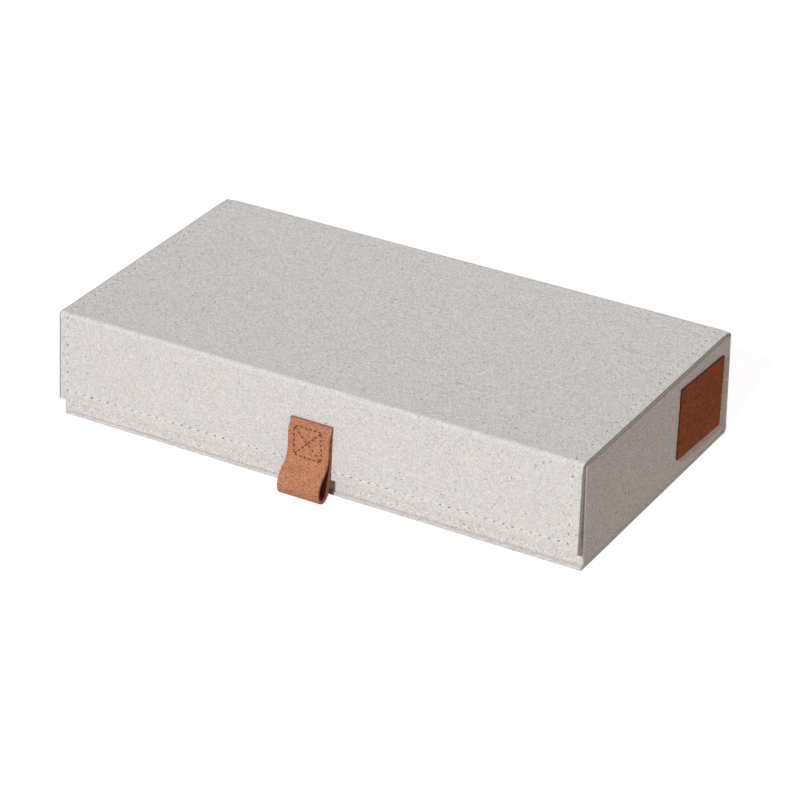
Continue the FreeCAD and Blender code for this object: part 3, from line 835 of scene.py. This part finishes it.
def cover_point(x, distance, settings):
    """Points on the cover's outer face, and the directions out of it and along it."""
    place, right = COVER.at(distance)
    plane = place + cover_relief(settings)(x, distance)[:, None] * right
    zero = np.zeros((len(x), 1))
    points = np.concatenate([x[:, None], plane], 1)
    normal = np.concatenate([zero, right], 1)
    along = np.concatenate([zero, -right[:, 1:], right[:, :1]], 1)
    return points, normal, along


def plan_loop(half_x, half_y, corner, spacing=SPACING, count=8):
    """A rounded rectangle as points, outward directions and distances, the last point on the first."""
    route = Route((half_x, corner - half_y), 90)
    for length in (2 * (half_y - corner), 2 * (half_x - corner)) * 2:
        route.go(length).bow(corner, 90)
    marks = route.all_marks(spacing, corner * math.pi / 2 / count)
    place, outward = route.at(marks)
    place[-1], outward[-1] = place[0], outward[0]
    return place, outward, marks


def walled(plan, profile, profile_length, centre, relief=None, shrink=None):
    """A profile carried round a plan.

    A point is the plan's point plus the profile's offset times the outward direction, all times its shrink,
    plus the centre, at the profile's height. relief(distance round, height) moves it further out.
    """
    place, outward, marks = plan
    offset, height = profile[:, 0], profile[:, 1]
    if shrink is None:
        shrink = np.ones(len(profile))
    flat = (place[None] + offset[:, None, None] * outward[None]) * shrink[:, None, None]
    if relief is not None:
        flat = flat + relief(marks[None, :], height[:, None])[..., None] * outward[None]
    shape = flat.shape[:2]
    tall = np.broadcast_to(height[:, None, None], (*shape, 1))
    points = np.concatenate([flat + np.array(centre), tall], -1)
    cloth = [np.broadcast_to(marks[None], shape), np.broadcast_to(profile_length[:, None], shape)]
    return points, np.stack(cloth, -1), np.ones(shape)


def strands(name, places, length, radius, material, skew=None):
    """Many short threads as one piece, from their middles, directions and normals.

    Each is a tube. For s from -1 to 1 along it, its girth is the radius times the root of 1 less s to the
    sixth, and its height falls with s to the fifth, so both ends dip into the cloth. Skew slants it.
    """
    middle, along, normal = places
    shape = (len(middle), THREAD_RINGS, THREAD_ROUND)
    steps = np.linspace(-1, 1, THREAD_RINGS)
    turn = np.linspace(0, 2 * np.pi, THREAD_ROUND)
    girth = radius * np.sqrt(np.clip(1 - steps**6, 0, 1))
    lift = radius * 0.45 - (radius + THREAD_SINK) * np.abs(steps) ** 5
    side = np.cross(normal, along)
    half = np.broadcast_to(length, len(middle))[:, None, None] / 2
    run = np.broadcast_to(steps[:, None] * half, shape)
    wide = np.broadcast_to(girth[:, None] * np.cos(turn), shape)
    tall = np.broadcast_to(lift[:, None] + girth[:, None] * np.sin(turn), shape)
    if skew is not None:
        wide = wide + (skew[:, None] * steps)[..., None]
    points = middle[:, None, None] + run[..., None] * along[:, None, None]
    points = points + wide[..., None] * side[:, None, None] + tall[..., None] * normal[:, None, None]
    cloth = np.stack([np.broadcast_to(turn / (2 * np.pi) / MM, shape), run], -1)
    return make_mesh(name, points, grid_faces(*shape[1:], len(middle)), material, cloth)


def beads(name, places, radius, height, material, length=1.0):
    """Many small flat discs with domed faces as one piece, from their middles, directions and normals.

    Each is a ball pressed flat: a ring is radius * sin(tilt) wide, so many times as long, and
    height * cos(tilt) up.
    """
    middle, along, normal = places
    shape = (len(middle), HOLE_RINGS, HOLE_ROUND)
    turn = np.linspace(0, 2 * np.pi, HOLE_ROUND)
    tilt = np.linspace(0, np.pi, HOLE_RINGS)
    side = np.cross(normal, along)
    radius, length = (np.broadcast_to(value, len(middle))[:, None, None] for value in (radius, length))
    ring = radius * np.sin(tilt)[:, None]
    up = np.broadcast_to(height * np.cos(tilt)[:, None], shape)
    points = middle[:, None, None] + (ring * length * np.cos(turn))[..., None] * along[:, None, None]
    points = points + (ring * np.sin(turn))[..., None] * side[:, None, None]
    points = points + up[..., None] * normal[:, None, None]
    return make_mesh(name, points, grid_faces(*shape[1:], len(middle)), material)


# Settings


def number_setting(name, description, default, unit="NONE", low=0.0):
    return bpy.props.FloatProperty(name=name, description=description, unit=unit, default=default, min=low)


def length_setting(name, description, default):
    return number_setting(name, description, default, "LENGTH")


def power_setting(name, description, default):
    return number_setting(name, description, default, "POWER")


def colour_setting(name, description, default):
    look = {"subtype": "COLOR", "min": 0, "max": 1}
    return bpy.props.FloatVectorProperty(name=name, description=description, default=default, **look)


class CoverSettings(bpy.types.PropertyGroup):
    """Sizes and colours of the canvas cover and its stitches."""

    canvas: colour_setting("Canvas", "Colour of the canvas", (0.739, 0.733, 0.730))
    # The canvas colour tinted a little warmer: a copy that paints in the warm tint of the shade on the tray's
    # end wall
    tray_canvas: colour_setting("Tray canvas", "Colour of the canvas on tray and base", (0.742, 0.725, 0.715))
    fleck: colour_setting("Fleck", "Colour of the dark flecks in the canvas", (0.27, 0.23, 0.18))
    # Painted shade: a dark colour mixed in along the cover's, base's and tray's edges, where the gaps beside
    # them lie in shadow
    seam: colour_setting("Seam", "Colour of the shaded line along the cover's edges", (0.15, 0.13, 0.115))
    thread: colour_setting("Thread", "Colour of the cover's sewing thread", (0.97, 0.95, 0.93))
    # Painted shade: the dark discs at the needle holes stand in for the shadow inside them
    hole: colour_setting("Hole", "Colour inside the needle holes", (0.09, 0.075, 0.06))
    stitch_pitch: length_setting("Stitch pitch", "Length of one stitch", 0.0055)
    stitch_inset_left: length_setting("Left inset", "Left row's distance from the edge", 0.00555)
    stitch_inset_right: length_setting("Right inset", "Right row's distance from the edge", 0.0065)
    stitch_inset_foot: length_setting("Foot inset", "Foot row's distance from the flap's lower edge", 0.00555)
    foot_row_slope: number_setting("Foot row slope", "Drop of the foot row to the right", 0.0028, low=-0.1)
    stitch_draw: length_setting("Stitch draw", "How deep a row of stitches draws the cloth in", 0.00005)
    fold_rise: length_setting("Fold rise", "How far the front fold stands proud", 0.00012)


class InsideSettings(bpy.types.PropertyGroup):
    """Colours of what shows when the box is open."""

    lining: colour_setting("Lining", "Colour of the brushed lining", (0.44, 0.36, 0.28))
    board: colour_setting("Board", "Colour of the grey board", (0.30, 0.27, 0.23))


class LeatherSettings(bpy.types.PropertyGroup):
    """Colours of the pull tab and the patch, and the tab's stitches."""

    strap: colour_setting("Strap", "Colour of the brushed strap", (0.515, 0.226, 0.125))
    strap_edge: colour_setting("Strap edge", "Colour of the strap's cut edges", (0.36, 0.15, 0.095))
    # Painted shade: the strap's inner side is darkened for the shade and red bounce inside the loop
    strap_inner_shade: colour_setting("Strap inside", "Colour of the strap's inner side", (0.24, 0.07, 0.04))
    strap_thread: colour_setting("Strap thread", "Colour of the tab's thread", (0.10, 0.022, 0.012))
    patch: colour_setting("Patch", "Colour of the leather patch", (0.275, 0.065, 0.014))
    stitch_length: length_setting("Tab stitch", "Length of one stitch on the tab", 0.0030)


class StageSettings(bpy.types.PropertyGroup):
    """Light and floor."""

    key_power: power_setting("Key power", "Power of the key lamp", 1085.0)
    key_size: length_setting("Key size", "Side of the square key lamp", 0.60)
    top_power: power_setting("Top power", "Power of the lamp above the back", 1.85)
    top_size: length_setting("Top size", "Side of the square lamp above the back", 0.45)
    side_power: power_setting("Side power", "Power of the warm lamp at the right", 0.55)
    side_size: length_setting("Side size", "Side of the square warm lamp at the right", 1.0)
    fill: number_setting("Fill", "Strength of the even light all round", 0.175)
    floor: colour_setting("Floor", "Colour of the floor as it lights the box", (0.635, 0.510, 0.438))
    glow: number_setting("Glow", "How bright the floor shows to the camera", 1.18)


GROUPS = {
    "glasses_box_cover": CoverSettings,
    "glasses_box_inside": InsideSettings,
    "glasses_box_leather": LeatherSettings,
    "glasses_box_stage": StageSettings,
}


# Pieces


class GLASSES_BOX_OT_cover(bpy.types.Operator):
    """Canvas over the base, spine, lid and flap, with the two folds that hinge them"""

    bl_idname = "glasses_box.cover"
    bl_label = "Cover"

    def execute(self, context):
        settings = context.scene.glasses_box_cover
        # The second colour is the painted edge shade
        shades = (settings.fleck, settings.seam)
        canvas = canvas_finish("cover_canvas", settings.canvas, *shades, 1.2)
        flap_canvas = canvas_finish("flap_canvas", settings.canvas, *shades, 0.85)
        # Like the tray, the base takes the copy of the canvas colour that is tinted warmer for the shaded end
        # wall
        base_canvas = canvas_finish("base_canvas", settings.tray_canvas, *shades)
        materials = (base_canvas, canvas, canvas, flap_canvas)
        foot = stitch_lines(settings)[2]
        cuts = (0.0, SPINE_START + SEAM_OVERLAP, LID_START + SEAM_OVERLAP, FLAP_CUT, FLAP_FOOT)
        names = ("base_cover", "spine_cover", "lid_cover", "flap_cover")
        replaced = ("base_cloth", "spine_cloth", "lid_cloth", "flap_cloth")
        pieces = {}
        for name, node, first, last, material in zip(names, replaced, cuts[:-1], cuts[1:], materials):
            near = [foot] if name == "flap_cover" else ()
            piece = cover_piece(name, first, last, material, settings, near)
            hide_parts(node)
            pieces[name] = piece
        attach(pieces["base_cover"], "box")
        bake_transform(pieces["spine_cover"])
        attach(pieces["lid_cover"], "lid")
        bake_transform(pieces["flap_cover"])
        return {"FINISHED"}


def halfway(values):
    """The middles between neighbouring values."""
    return (values[1:] + values[:-1]) / 2


class GLASSES_BOX_OT_stitches(bpy.types.Operator):
    """Rows of stitches along the ends of the lid and flap and along the flap's foot"""

    bl_idname = "glasses_box.stitches"
    bl_label = "Stitches"

    def execute(self, context):
        settings = context.scene.glasses_box_cover
        thread = thread_finish("cover_thread", settings.thread)
        # The needle holes are dark discs of painted shade
        hole = hole_finish("needle_hole_shade", settings.hole)
        pitch = settings.stitch_pitch / MM
        chance = np.random.default_rng(11)
        holes, threads = self.places(settings, pitch)
        radii = HOLE_RADIUS * chance.uniform(HOLE_SMALLEST, 1, len(holes[0])) ** 0.5
        lengths = chance.uniform(*HOLE_LENGTHS, len(radii))
        skews = chance.normal(0, THREAD_SKEW, len(threads[0]))
        for prefix, on_flap_piece in (("lid", False), ("flap", True)):
            these = (holes[3] > FLAP_CUT) == on_flap_piece
            places = [part[these] for part in holes[:3]]
            dots = beads(f"{prefix}_needle_hole_shade", places, radii[these], HOLE_HEIGHT, hole, lengths[these])
            these = (threads[3] > FLAP_CUT) == on_flap_piece
            places = [part[these] for part in threads[:3]]
            length = pitch - THREAD_GAP
            rows = strands(f"{prefix}_stitches", places, length, THREAD_RADIUS, thread, skews[these])
            for piece in (dots, rows):
                if on_flap_piece:
                    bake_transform(piece)
                else:
                    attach(piece, "lid")
        return {"FINISHED"}

    def places(self, settings, pitch):
        """The needle holes, and the threads halfway between: points, headings, normals and distances."""
        left, right, foot, slope = stitch_lines(settings)
        first = LID_START + ROW_START
        ends = np.linspace(first, foot, round((foot - first) / pitch) + 1)
        across = np.linspace(left, right, round((right - left) / pitch) + 1)
        rows = [(np.full(len(ends), x), ends + slope * x * (ends / foot), False) for x in (left, right)]
        rows.append((across, foot + slope * across, True))

        def placed(x, distance, sideways):
            points, normal, along = cover_point(x, distance, settings)
            heading = np.tile([1.0, 0, 0], (len(x), 1)) if sideways else along
            return points, heading, normal, distance

        holes = [placed(*row) for row in rows]
        threads = [placed(halfway(x), halfway(distance), sideways) for x, distance, sideways in rows]
        return ([np.concatenate(part) for part in zip(*found)] for found in (holes, threads))


class GLASSES_BOX_OT_tray(bpy.types.Operator):
    """Canvas round the tray's walls, turned over the rim"""

    bl_idname = "glasses_box.tray"
    bl_label = "Tray"

    def execute(self, context):
        settings = context.scene.glasses_box_cover
        # The tray's canvas gets the painted edge shade for the line along its foot
        canvas = canvas_finish("tray_canvas", settings.tray_canvas, settings.fleck, settings.seam, 1.25)
        half_x, half_y = (TRAY_HIGH - TRAY_LOW)[:2] / 2
        centre = (TRAY_HIGH + TRAY_LOW)[:2] / 2
        low, top = TRAY_LOW[2], TRAY_HIGH[2]
        profile = self.profile(low, top)
        marks = profile.all_marks(SPACING, 0.2)
        shape = profile.at(marks)[0]
        shape = np.concatenate([shape, shape[:1]])
        marks = np.concatenate([marks, marks[-1:] + CLOTH])

        def relief(along, height):
            bulge = np.sin(np.clip((height - low) / (top - low), 0, 1) * np.pi)
            return TRAY_WAVE * waves(along, height + 300) * bulge

        points, cloth, _ = walled(plan_loop(half_x, half_y, TRAY_CORNER), shape, marks, centre, relief)
        x, y, z = (points[..., axis] for axis in range(3))
        near = 5.0
        deep = 1 - (z - low) / (top - low)
        to_left = np.clip(0.5 - x / TRAY_SLANT_LENGTH, 0, 1)
        y -= TRAY_FRONT_OUT * to_left * deep * (y < centre[1] - half_y + near)
        x -= TRAY_LEFT_OUT * deep * (x < centre[0] - half_x + near)
        # Painted shade along the tray's foot, where it meets the base: strong at the right end, faint
        # elsewhere
        amount = np.where(x > centre[0] + half_x - 1, TRAY_SHADE_RIGHT, TRAY_SHADE_ELSEWHERE)
        shade = np.interp(z, (low + TRAY_SHADE_LOW, low + TRAY_SHADE_HIGH), (1.0, 0.0)) * amount
        piece = grid_piece("tray_cover", (points, cloth, shade), canvas)
        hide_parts("tray_cloth")
        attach(piece, "box")
        return {"FINISHED"}

    def profile(self, low, top):
        """Offset and height: out at the foot, up, over the rim, down inside, and back on the other face."""
        inner_rim = TRAY_RIM - CLOTH
        across_rim = TRAY_WALL - 2 * TRAY_RIM
        turn_in = TRAY_TURN_IN - TRAY_RIM
        profile = Route((-CLOTH - TRAY_FOOT, low + 0.03))
        profile.go(CLOTH).bow(TRAY_FOOT, 90).go(top - TRAY_RIM - low - TRAY_FOOT)
        profile.bow(TRAY_RIM, 90).go(across_rim).bow(TRAY_RIM, 90).go(turn_in)
        profile.bow(CLOTH / 2, 180)
        profile.go(turn_in).bow(inner_rim, -90).go(across_rim).bow(inner_rim, -90)
        return profile.go(top - TRAY_RIM - low - CLOTH)


class GLASSES_BOX_OT_linings(bpy.types.Operator):
    """Brushed lining in the tray, on the dividers and inside the lid and flap"""

    bl_idname = "glasses_box.linings"
    bl_label = "Linings"

    def execute(self, context):
        brushed = lining_finish("brushed_lining", context.scene.glasses_box_inside.lining)
        self.line_tray(brushed)
        for number in range(1, 5):
            self.cover_divider(number, brushed)
        self.line_lid(brushed)
        self.line_flap(brushed)
        return {"FINISHED"}

    def fit(self, piece, node, body):
        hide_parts(node)
        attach(piece, body)

    def line_tray(self, brushed):
        """Up the walls and over the floor, which closes in the middle, above and below."""
        half_x, half_y = (LINING_HIGH - LINING_LOW)[:2] / 2
        centre = (LINING_HIGH + LINING_LOW)[:2] / 2
        low, top = LINING_LOW[2], LINING_HIGH[2]
        fillet, wall_corner = 1.2, 0.6
        profile = Route((0, top - CLOTH / 2), 90)
        profile.bow(CLOTH / 2, 180).go(top - CLOTH / 2 - low - CLOTH - fillet).bow(fillet, 90)
        wall = profile.at(profile.all_marks(SPACING, 0.2))[0]
        inward = np.linspace(1, 0, 12)[1:]
        floor_top = np.stack([np.full(len(inward), wall[-1, 0]), np.full(len(inward), low + CLOTH)], -1)
        floor_under = np.stack([np.zeros(len(inward)), np.full(len(inward), low + HAIR)], -1)
        closing = np.array([[0, low + HAIR], [0, top - CLOTH / 2]])
        shape = np.concatenate([wall, floor_top, floor_under, closing])
        shrink = np.concatenate([np.ones(len(wall)), inward, inward[::-1], [1, 1]])
        length = np.concatenate([[0], np.cumsum(np.linalg.norm(np.diff(shape, axis=0), axis=1))])
        grid = walled(plan_loop(half_x, half_y, wall_corner), shape, length, centre, shrink=shrink)
        self.fit(grid_piece("tray_inner_lining", grid, brushed), "tray_lining", "box")

    def cover_divider(self, number, brushed):
        """A padded sheet that stands across the tray, rounded at its top."""
        node = f"divider_cover_{number}"
        low, high = node_box(node)
        thick = high[0] - low[0]
        half = (high[1] - low[1]) / 2
        route = Route((low[0], low[2]), 90).go(high[2] - low[2])
        length = route.starts[-1]
        marks = merged(route.all_marks(), length - end_marks(thick / 2))
        pinch = thick / 2 * (1 - rounded(length - marks, thick / 2))
        foot = thick / 2 * (1 - rounded(marks, 0.3))
        grid = wrap(
            route, marks, half, pinch + foot - thick, -pinch - foot, spread(half - thick / 2),
            middle=(high[1] + low[1]) / 2, corner=0.4,
            relief=lambda x, s: DIVIDER_WAVE * waves(x * 2 + 50 * number, s * 2),
        )
        self.fit(grid_piece(f"divider_lining_{number}", grid, brushed, axes=(1, 0, 2)), node, "box")

    def line_lid(self, brushed):
        """A thin sheet glued inside the lid."""
        low, high = node_box("lid_lining")
        route = Route((high[1], high[2]), 180).go(high[1] - low[1])
        sheet = self.thin_sheet("lid_inner_lining", route, low, high, high[2] - low[2], brushed)
        self.fit(sheet, "lid_lining", "lid")

    def line_flap(self, brushed):
        """A thin sheet glued inside the flap, leaning as the flap does."""
        low, high = node_box("flap_lining")
        down = np.array([-LEAN_SIN, -LEAN_COS])
        inward = np.array([LEAN_COS, -LEAN_SIN])
        start = FLAP_START + LINING_MARGIN * down + (PANEL - CLOTH) * inward
        route = Route(start, 270 - FLAP_LEAN).go(FLAP_LENGTH - 2 * LINING_MARGIN)
        sheet = self.thin_sheet("flap_inner_lining", route, low, high, CLOTH, brushed)
        self.fit(sheet, "flap_lining", "flap")

    def thin_sheet(self, name, route, low, high, thick, brushed):
        """A flat sheet along a route, rounded at its ends, and a little thicker than its solid."""
        thick = thick + SHEET_EXTRA
        length = route.starts[-1]
        ends = end_marks(thick / 2, 5)
        marks = merged(route.all_marks(), ends, length - ends)
        pinch = thick / 2 * (1 - rounded(np.minimum(marks, length - marks), thick / 2))
        half = (high[0] - low[0]) / 2
        middle = (high[0] + low[0]) / 2
        grid = wrap(route, marks, half, pinch, thick - pinch, spread(half - thick / 2), middle)
        return grid_piece(name, grid, brushed)


class GLASSES_BOX_OT_boards(bpy.types.Operator):
    """Finish of the boards, which keep their CAD shapes"""

    bl_idname = "glasses_box.boards"
    bl_label = "Boards"

    def execute(self, context):
        grey = board_finish("grey_board", context.scene.glasses_box_inside.board)
        boards = [name for name in NODES if "board" in name or name == "tray_floor" or name.endswith("_wall")]
        if len(boards) != 13:
            raise RuntimeError(f"expected 13 boards, found {len(boards)}")
        for name in boards:
            for place in NODES[name].material_slots:
                place.material = grey
        return {"FINISHED"}


def strap_route():
    """The strap's middle line in the flap's plane: down the flap, round the loop, up over its own end.

    Two arcs that step aside and straighten again each turn by the arc cosine of 1 less the step over the sum
    of their radii. The back arc turns by twice the arc tangent of its rise over its reach.
    """
    sewn = 3 * STRAP_HALF + 0.05
    front_radii = FRONT_RADIUS + NECK_RADIUS
    front_angle = math.acos(1 - (LOOP_BULGE - sewn) / front_radii)
    reach = front_radii * math.sin(front_angle)
    rise = LOOP_BULGE - STRAP_HALF - 2 * TIP_RADIUS
    back_radius = TIP_RADIUS + (reach**2 + rise**2) / (2 * rise)
    back_angle = 2 * math.atan(rise / reach)
    step = sewn - STRAP_HALF
    step_angle = math.acos(1 - step / (2 * STEP_RADIUS))
    step_reach = 2 * STEP_RADIUS * math.sin(step_angle)
    step_low = BACK_END - STRAP_HALF
    route = Route((BACK_END, STRAP_HALF))
    route.go(LOOP_START - BACK_END)
    route.bow(back_radius, math.degrees(back_angle))
    route.bow(TIP_RADIUS, 180 - math.degrees(back_angle))
    route.bow(FRONT_RADIUS, math.degrees(front_angle))
    route.bow(NECK_RADIUS, -math.degrees(front_angle))
    route.go(LOOP_START - step_low)
    route.bow(STEP_RADIUS, math.degrees(step_angle))
    route.bow(STEP_RADIUS, -math.degrees(step_angle))
    return route.go(step_low - step_reach - STRAP_TOP)


def on_flap(points):
    """From (sideways, down the flap, out of the flap) to the frame's three axes."""
    down = np.array([0, -LEAN_SIN, -LEAN_COS])
    out = np.array([0, -LEAN_COS, LEAN_SIN])
    return points[..., :1] * [1, 0, 0] + points[..., 1:2] * down + points[..., 2:] * out + [0, *FLAP_START]


class GLASSES_BOX_OT_pull_tab(bpy.types.Operator):
    """Leather loop sewn to the flap with a crossed square of stitches"""

    bl_idname = "glasses_box.pull_tab"
    bl_label = "Pull tab"

    def execute(self, context):
        settings = context.scene.glasses_box_leather
        suede = suede_finish("strap_suede", settings.strap, settings.strap_edge, settings.strap_inner_shade)
        route = strap_route()
        length = route.starts[-1]
        ends = end_marks(STRAP_END_ROUND, 5)
        marks = merged(route.all_marks(STRAP_SPACING, 0.5), ends, length - ends)
        away = np.minimum(marks, length - marks)
        half = STRAP_HALF * rounded(away, STRAP_END_ROUND, 0.3)
        corner = STRAP_CORNER * (1 - rounded(away, STRAP_CORNER))
        width = STRAP_WIDTH / 2 - corner - STRAP_EDGE_WAVE * np.sin(marks * STRAP_EDGE_PACE)
        across = spread(STRAP_WIDTH / 2 - STRAP_HALF, STRAP_SPACING)

        def relief(x, s):
            return LEATHER_WAVE * waves(x * 6, s * 6)

        sheet = wrap(route, marks, width, -half, half, across, STRAP_MIDDLE, SQUARE_EDGE, relief)
        points, cloth, side = sheet
        side = side * (away > 0.25)[:, None]
        piece = grid_piece("pull_tab_strap", (on_flap(points), cloth, side), suede)
        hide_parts("pull_tab")
        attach(piece, "flap")
        self.sew(settings, route)
        return {"FINISHED"}

    def sew(self, settings, route):
        """Stitches round a square and along its two diagonals, on the front leg's face."""
        thread = thread_finish("strap_thread", settings.strap_thread, 0.6)
        # The strap's needle holes are dark discs of painted shade, a darker copy of the thread colour
        hole = hole_finish("strap_hole_shade", scaled(settings.strap_thread, 0.35))
        step = settings.stitch_length / MM
        starts, finishes = [], []
        for first, last in ((0, 1), (1, 2), (2, 3), (3, 0), (0, 2), (1, 3)):
            first, last = SEWN_CORNERS[first], SEWN_CORNERS[last]
            count = round(np.linalg.norm(last - first) / step)
            cuts = first + (last - first) * np.linspace(0, 1, count + 1)[:, None]
            starts.append(cuts[:-1])
            finishes.append(cuts[1:])
        starts, finishes = np.concatenate(starts), np.concatenate(finishes)
        along = self.face(finishes, route)[0] - self.face(starts, route)[0]
        length = np.linalg.norm(along, axis=1)
        middle, normal = self.face((starts + finishes) / 2, route)
        places = (middle, along / length[:, None], normal)
        rows = strands("pull_tab_stitches", places, length - TAB_THREAD_GAP, TAB_THREAD_RADIUS, thread)
        points, normal = self.face(np.unique(np.round(np.concatenate([starts, finishes]), 3), axis=0), route)
        places = (points, np.tile([1.0, 0, 0], (len(points), 1)), normal)
        holes = beads("pull_tab_needle_hole_shade", places, TAB_HOLE_RADIUS, TAB_HOLE_HEIGHT, hole)
        for piece in (rows, holes):
            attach(piece, "flap")

    def face(self, places, route):
        """Points and normals on the front leg's outer face, from places sideways and down the flap."""
        front_leg = np.linspace(route.starts[4], route.starts[-1], 600)
        line, right = route.at(front_leg)
        outer = line + STRAP_HALF * right
        order = np.argsort(line[:, 0])
        down = places[:, 1]
        out = np.interp(down, outer[order, 0], outer[order, 1])
        lean = np.interp(down, outer[order, 0], right[order, 0])
        flat = np.stack([places[:, 0], down, out], -1)
        normal = np.stack([np.zeros(len(down)), lean, np.sqrt(1 - lean**2)], -1)
        return on_flap(flat), on_flap(normal) - on_flap(np.zeros(3))


class GLASSES_BOX_OT_patch(bpy.types.Operator):
    """Bare leather patch on the right end wall"""

    bl_idname = "glasses_box.patch"
    bl_label = "Patch"

    def execute(self, context):
        leather = patch_finish("patch_leather", context.scene.glasses_box_leather.patch)
        place, outward, marks = plan_loop(PATCH_HALF_LENGTH, PATCH_HALF_HEIGHT, PATCH_CORNER, 2.0)
        offset, height, shrink, side = self.profile(PATCH_HIGH[0] - PATCH_LOW[0])
        flat = (place[None] + offset[:, None, None] * outward[None]) * shrink[:, None, None]
        droop = math.radians(PATCH_DROOP)
        turn = np.array([[math.cos(droop), -math.sin(droop)], [math.sin(droop), math.cos(droop)]])
        middle = (PATCH_HIGH + PATCH_LOW)[1:] / 2 + PATCH_SHIFT
        face = flat @ turn + middle
        out = PATCH_LOW[0] + height[:, None] * np.ones((1, len(marks)))
        out = out + LEATHER_WAVE * waves(face[..., 0] * 4, face[..., 1] * 4) * side[:, None]
        points = np.concatenate([out[..., None], face], -1)
        sides = np.broadcast_to(side[:, None], out.shape)
        piece = make_mesh("end_patch", points, grid_faces(*out.shape), leather, side=sides)
        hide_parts("leather_patch")
        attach(piece, "box")
        return {"FINISHED"}

    def profile(self, thick):
        """Offset, height, shrink and side: up a quarter round edge to the middle, and back underneath."""
        rows = [(0.0, HAIR, 1.0, 0.0)]
        for angle in np.linspace(0, np.pi / 2, 6):
            inward = -PATCH_EDGE * (1 - math.cos(angle))
            rows.append((inward, thick - PATCH_EDGE + PATCH_EDGE * math.sin(angle), 1.0, math.sin(angle)))
        rows += [(-PATCH_EDGE, thick, part, 1.0) for part in np.linspace(0.985, 0, 16)]
        rows += [(0.0, HAIR, part, 0.0) for part in np.linspace(0, 1, 6)[:-1]]
        rows.append(rows[0])
        return (np.array(column) for column in zip(*rows))


class GLASSES_BOX_OT_stage(bpy.types.Operator):
    """Floor, three square lamps, even light all round and the camera"""

    bl_idname = "glasses_box.stage"
    bl_label = "Stage"

    def execute(self, context):
        settings = context.scene.glasses_box_stage
        self.lay_floor(settings)
        self.hang_lamp("key_lamp", settings.key_power, settings.key_size, KEY_PLACE)
        self.hang_lamp("top_lamp", settings.top_power, settings.top_size, TOP_PLACE, TOP_COLOUR)
        self.hang_lamp("side_lamp", settings.side_power, settings.side_size, SIDE_PLACE, SIDE_COLOUR)
        self.fill_world(context.scene, settings)
        self.place_camera(context.scene)
        context.scene.view_settings.view_transform = "Standard"
        return {"FINISHED"}

    def lay_floor(self, settings):
        """A square of paper a hair below the box."""
        corners = [(x * FLOOR_HALF, y * FLOOR_HALF, -FLOOR_DROP * MM) for x, y in FLOOR_CORNERS]
        mesh = bpy.data.meshes.new("floor")
        mesh.from_pydata(corners, [], [(0, 1, 2, 3)])
        mesh.materials.append(floor_finish("floor_paper", settings.floor, settings.glow))
        add_object("floor", mesh)

    def hang_lamp(self, name, power, size, place, colour=WHITE):
        """A square lamp that looks at the box, so far round from the front, so far up and so far away."""
        lamp = bpy.data.lights.new(name, "AREA")
        lamp.color = colour
        lamp.energy = power
        lamp.size = size
        turn, height, reach = math.radians(place[0]), math.radians(place[1]), place[2]
        level = math.cos(height)
        away = Vector((math.sin(turn) * level, -math.cos(turn) * level, math.sin(height)))
        holder = add_object(name, lamp)
        holder.location = LAMP_AIM + away * reach
        holder.rotation_euler = away.to_track_quat("Z", "Y").to_euler()

    def fill_world(self, scene, settings):
        """Even light of the fill's strength for surfaces, and white for what the camera sees."""
        world = bpy.data.worlds.new("studio")
        world.use_nodes = True
        tree = world.node_tree
        tree.nodes.clear()
        seen = seen_straight(tree)
        shades = []
        for strength in (settings.fill, 1.0):
            shade = tree.nodes.new("ShaderNodeBackground")
            shade.inputs["Strength"].default_value = strength
            shade.inputs["Color"].default_value = (*WHITE, 1)
            shades.append(shade)
        blend_shaders(tree, seen, *shades, tree.nodes.new("ShaderNodeOutputWorld"))
        scene.world = world

    def place_camera(self, scene):
        camera = bpy.data.cameras.new("camera")
        camera.sensor_width = CAMERA_SENSOR
        camera.lens = CAMERA_LENS
        camera.clip_end = CAMERA_FAR
        holder = add_object("camera", camera)
        holder.location = CAMERA_PLACE
        holder.rotation_euler = [math.radians(turn) for turn in CAMERA_TURNS]
        scene.camera = holder


OPERATORS = (
    GLASSES_BOX_OT_cover,
    GLASSES_BOX_OT_stitches,
    GLASSES_BOX_OT_tray,
    GLASSES_BOX_OT_linings,
    GLASSES_BOX_OT_boards,
    GLASSES_BOX_OT_pull_tab,
    GLASSES_BOX_OT_patch,
    GLASSES_BOX_OT_stage,
)


class GLASSES_BOX_PT_panel(bpy.types.Panel):
    """Lists the pieces and their settings"""

    bl_label = "Glasses Box"
    bl_idname = "GLASSES_BOX_PT_panel"
    bl_space_type = "VIEW_3D"
    bl_region_type = "UI"
    bl_category = "Glasses Box"

    def draw(self, context):
        for group in GROUPS:
            settings = getattr(context.scene, group)
            box = self.layout.box()
            for key in settings.bl_rna.properties.keys():
                if key not in ("rna_type", "name"):
                    box.prop(settings, key)
        for operator in OPERATORS:
            self.layout.operator(operator.bl_idname)


CLASSES = (*GROUPS.values(), *OPERATORS, GLASSES_BOX_PT_panel)


def register():
    for item in CLASSES:
        bpy.utils.register_class(item)
    for name, group in GROUPS.items():
        setattr(bpy.types.Scene, name, bpy.props.PointerProperty(type=group))


def unregister():
    for name in GROUPS:
        delattr(bpy.types.Scene, name)
    for item in reversed(CLASSES):
        bpy.utils.unregister_class(item)


def main():
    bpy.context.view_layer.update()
    register()
    for operator in OPERATORS:
        group, name = operator.bl_idname.split(".")
        getattr(getattr(bpy.ops, group), name)()


if __name__ == "__main__":
    main()
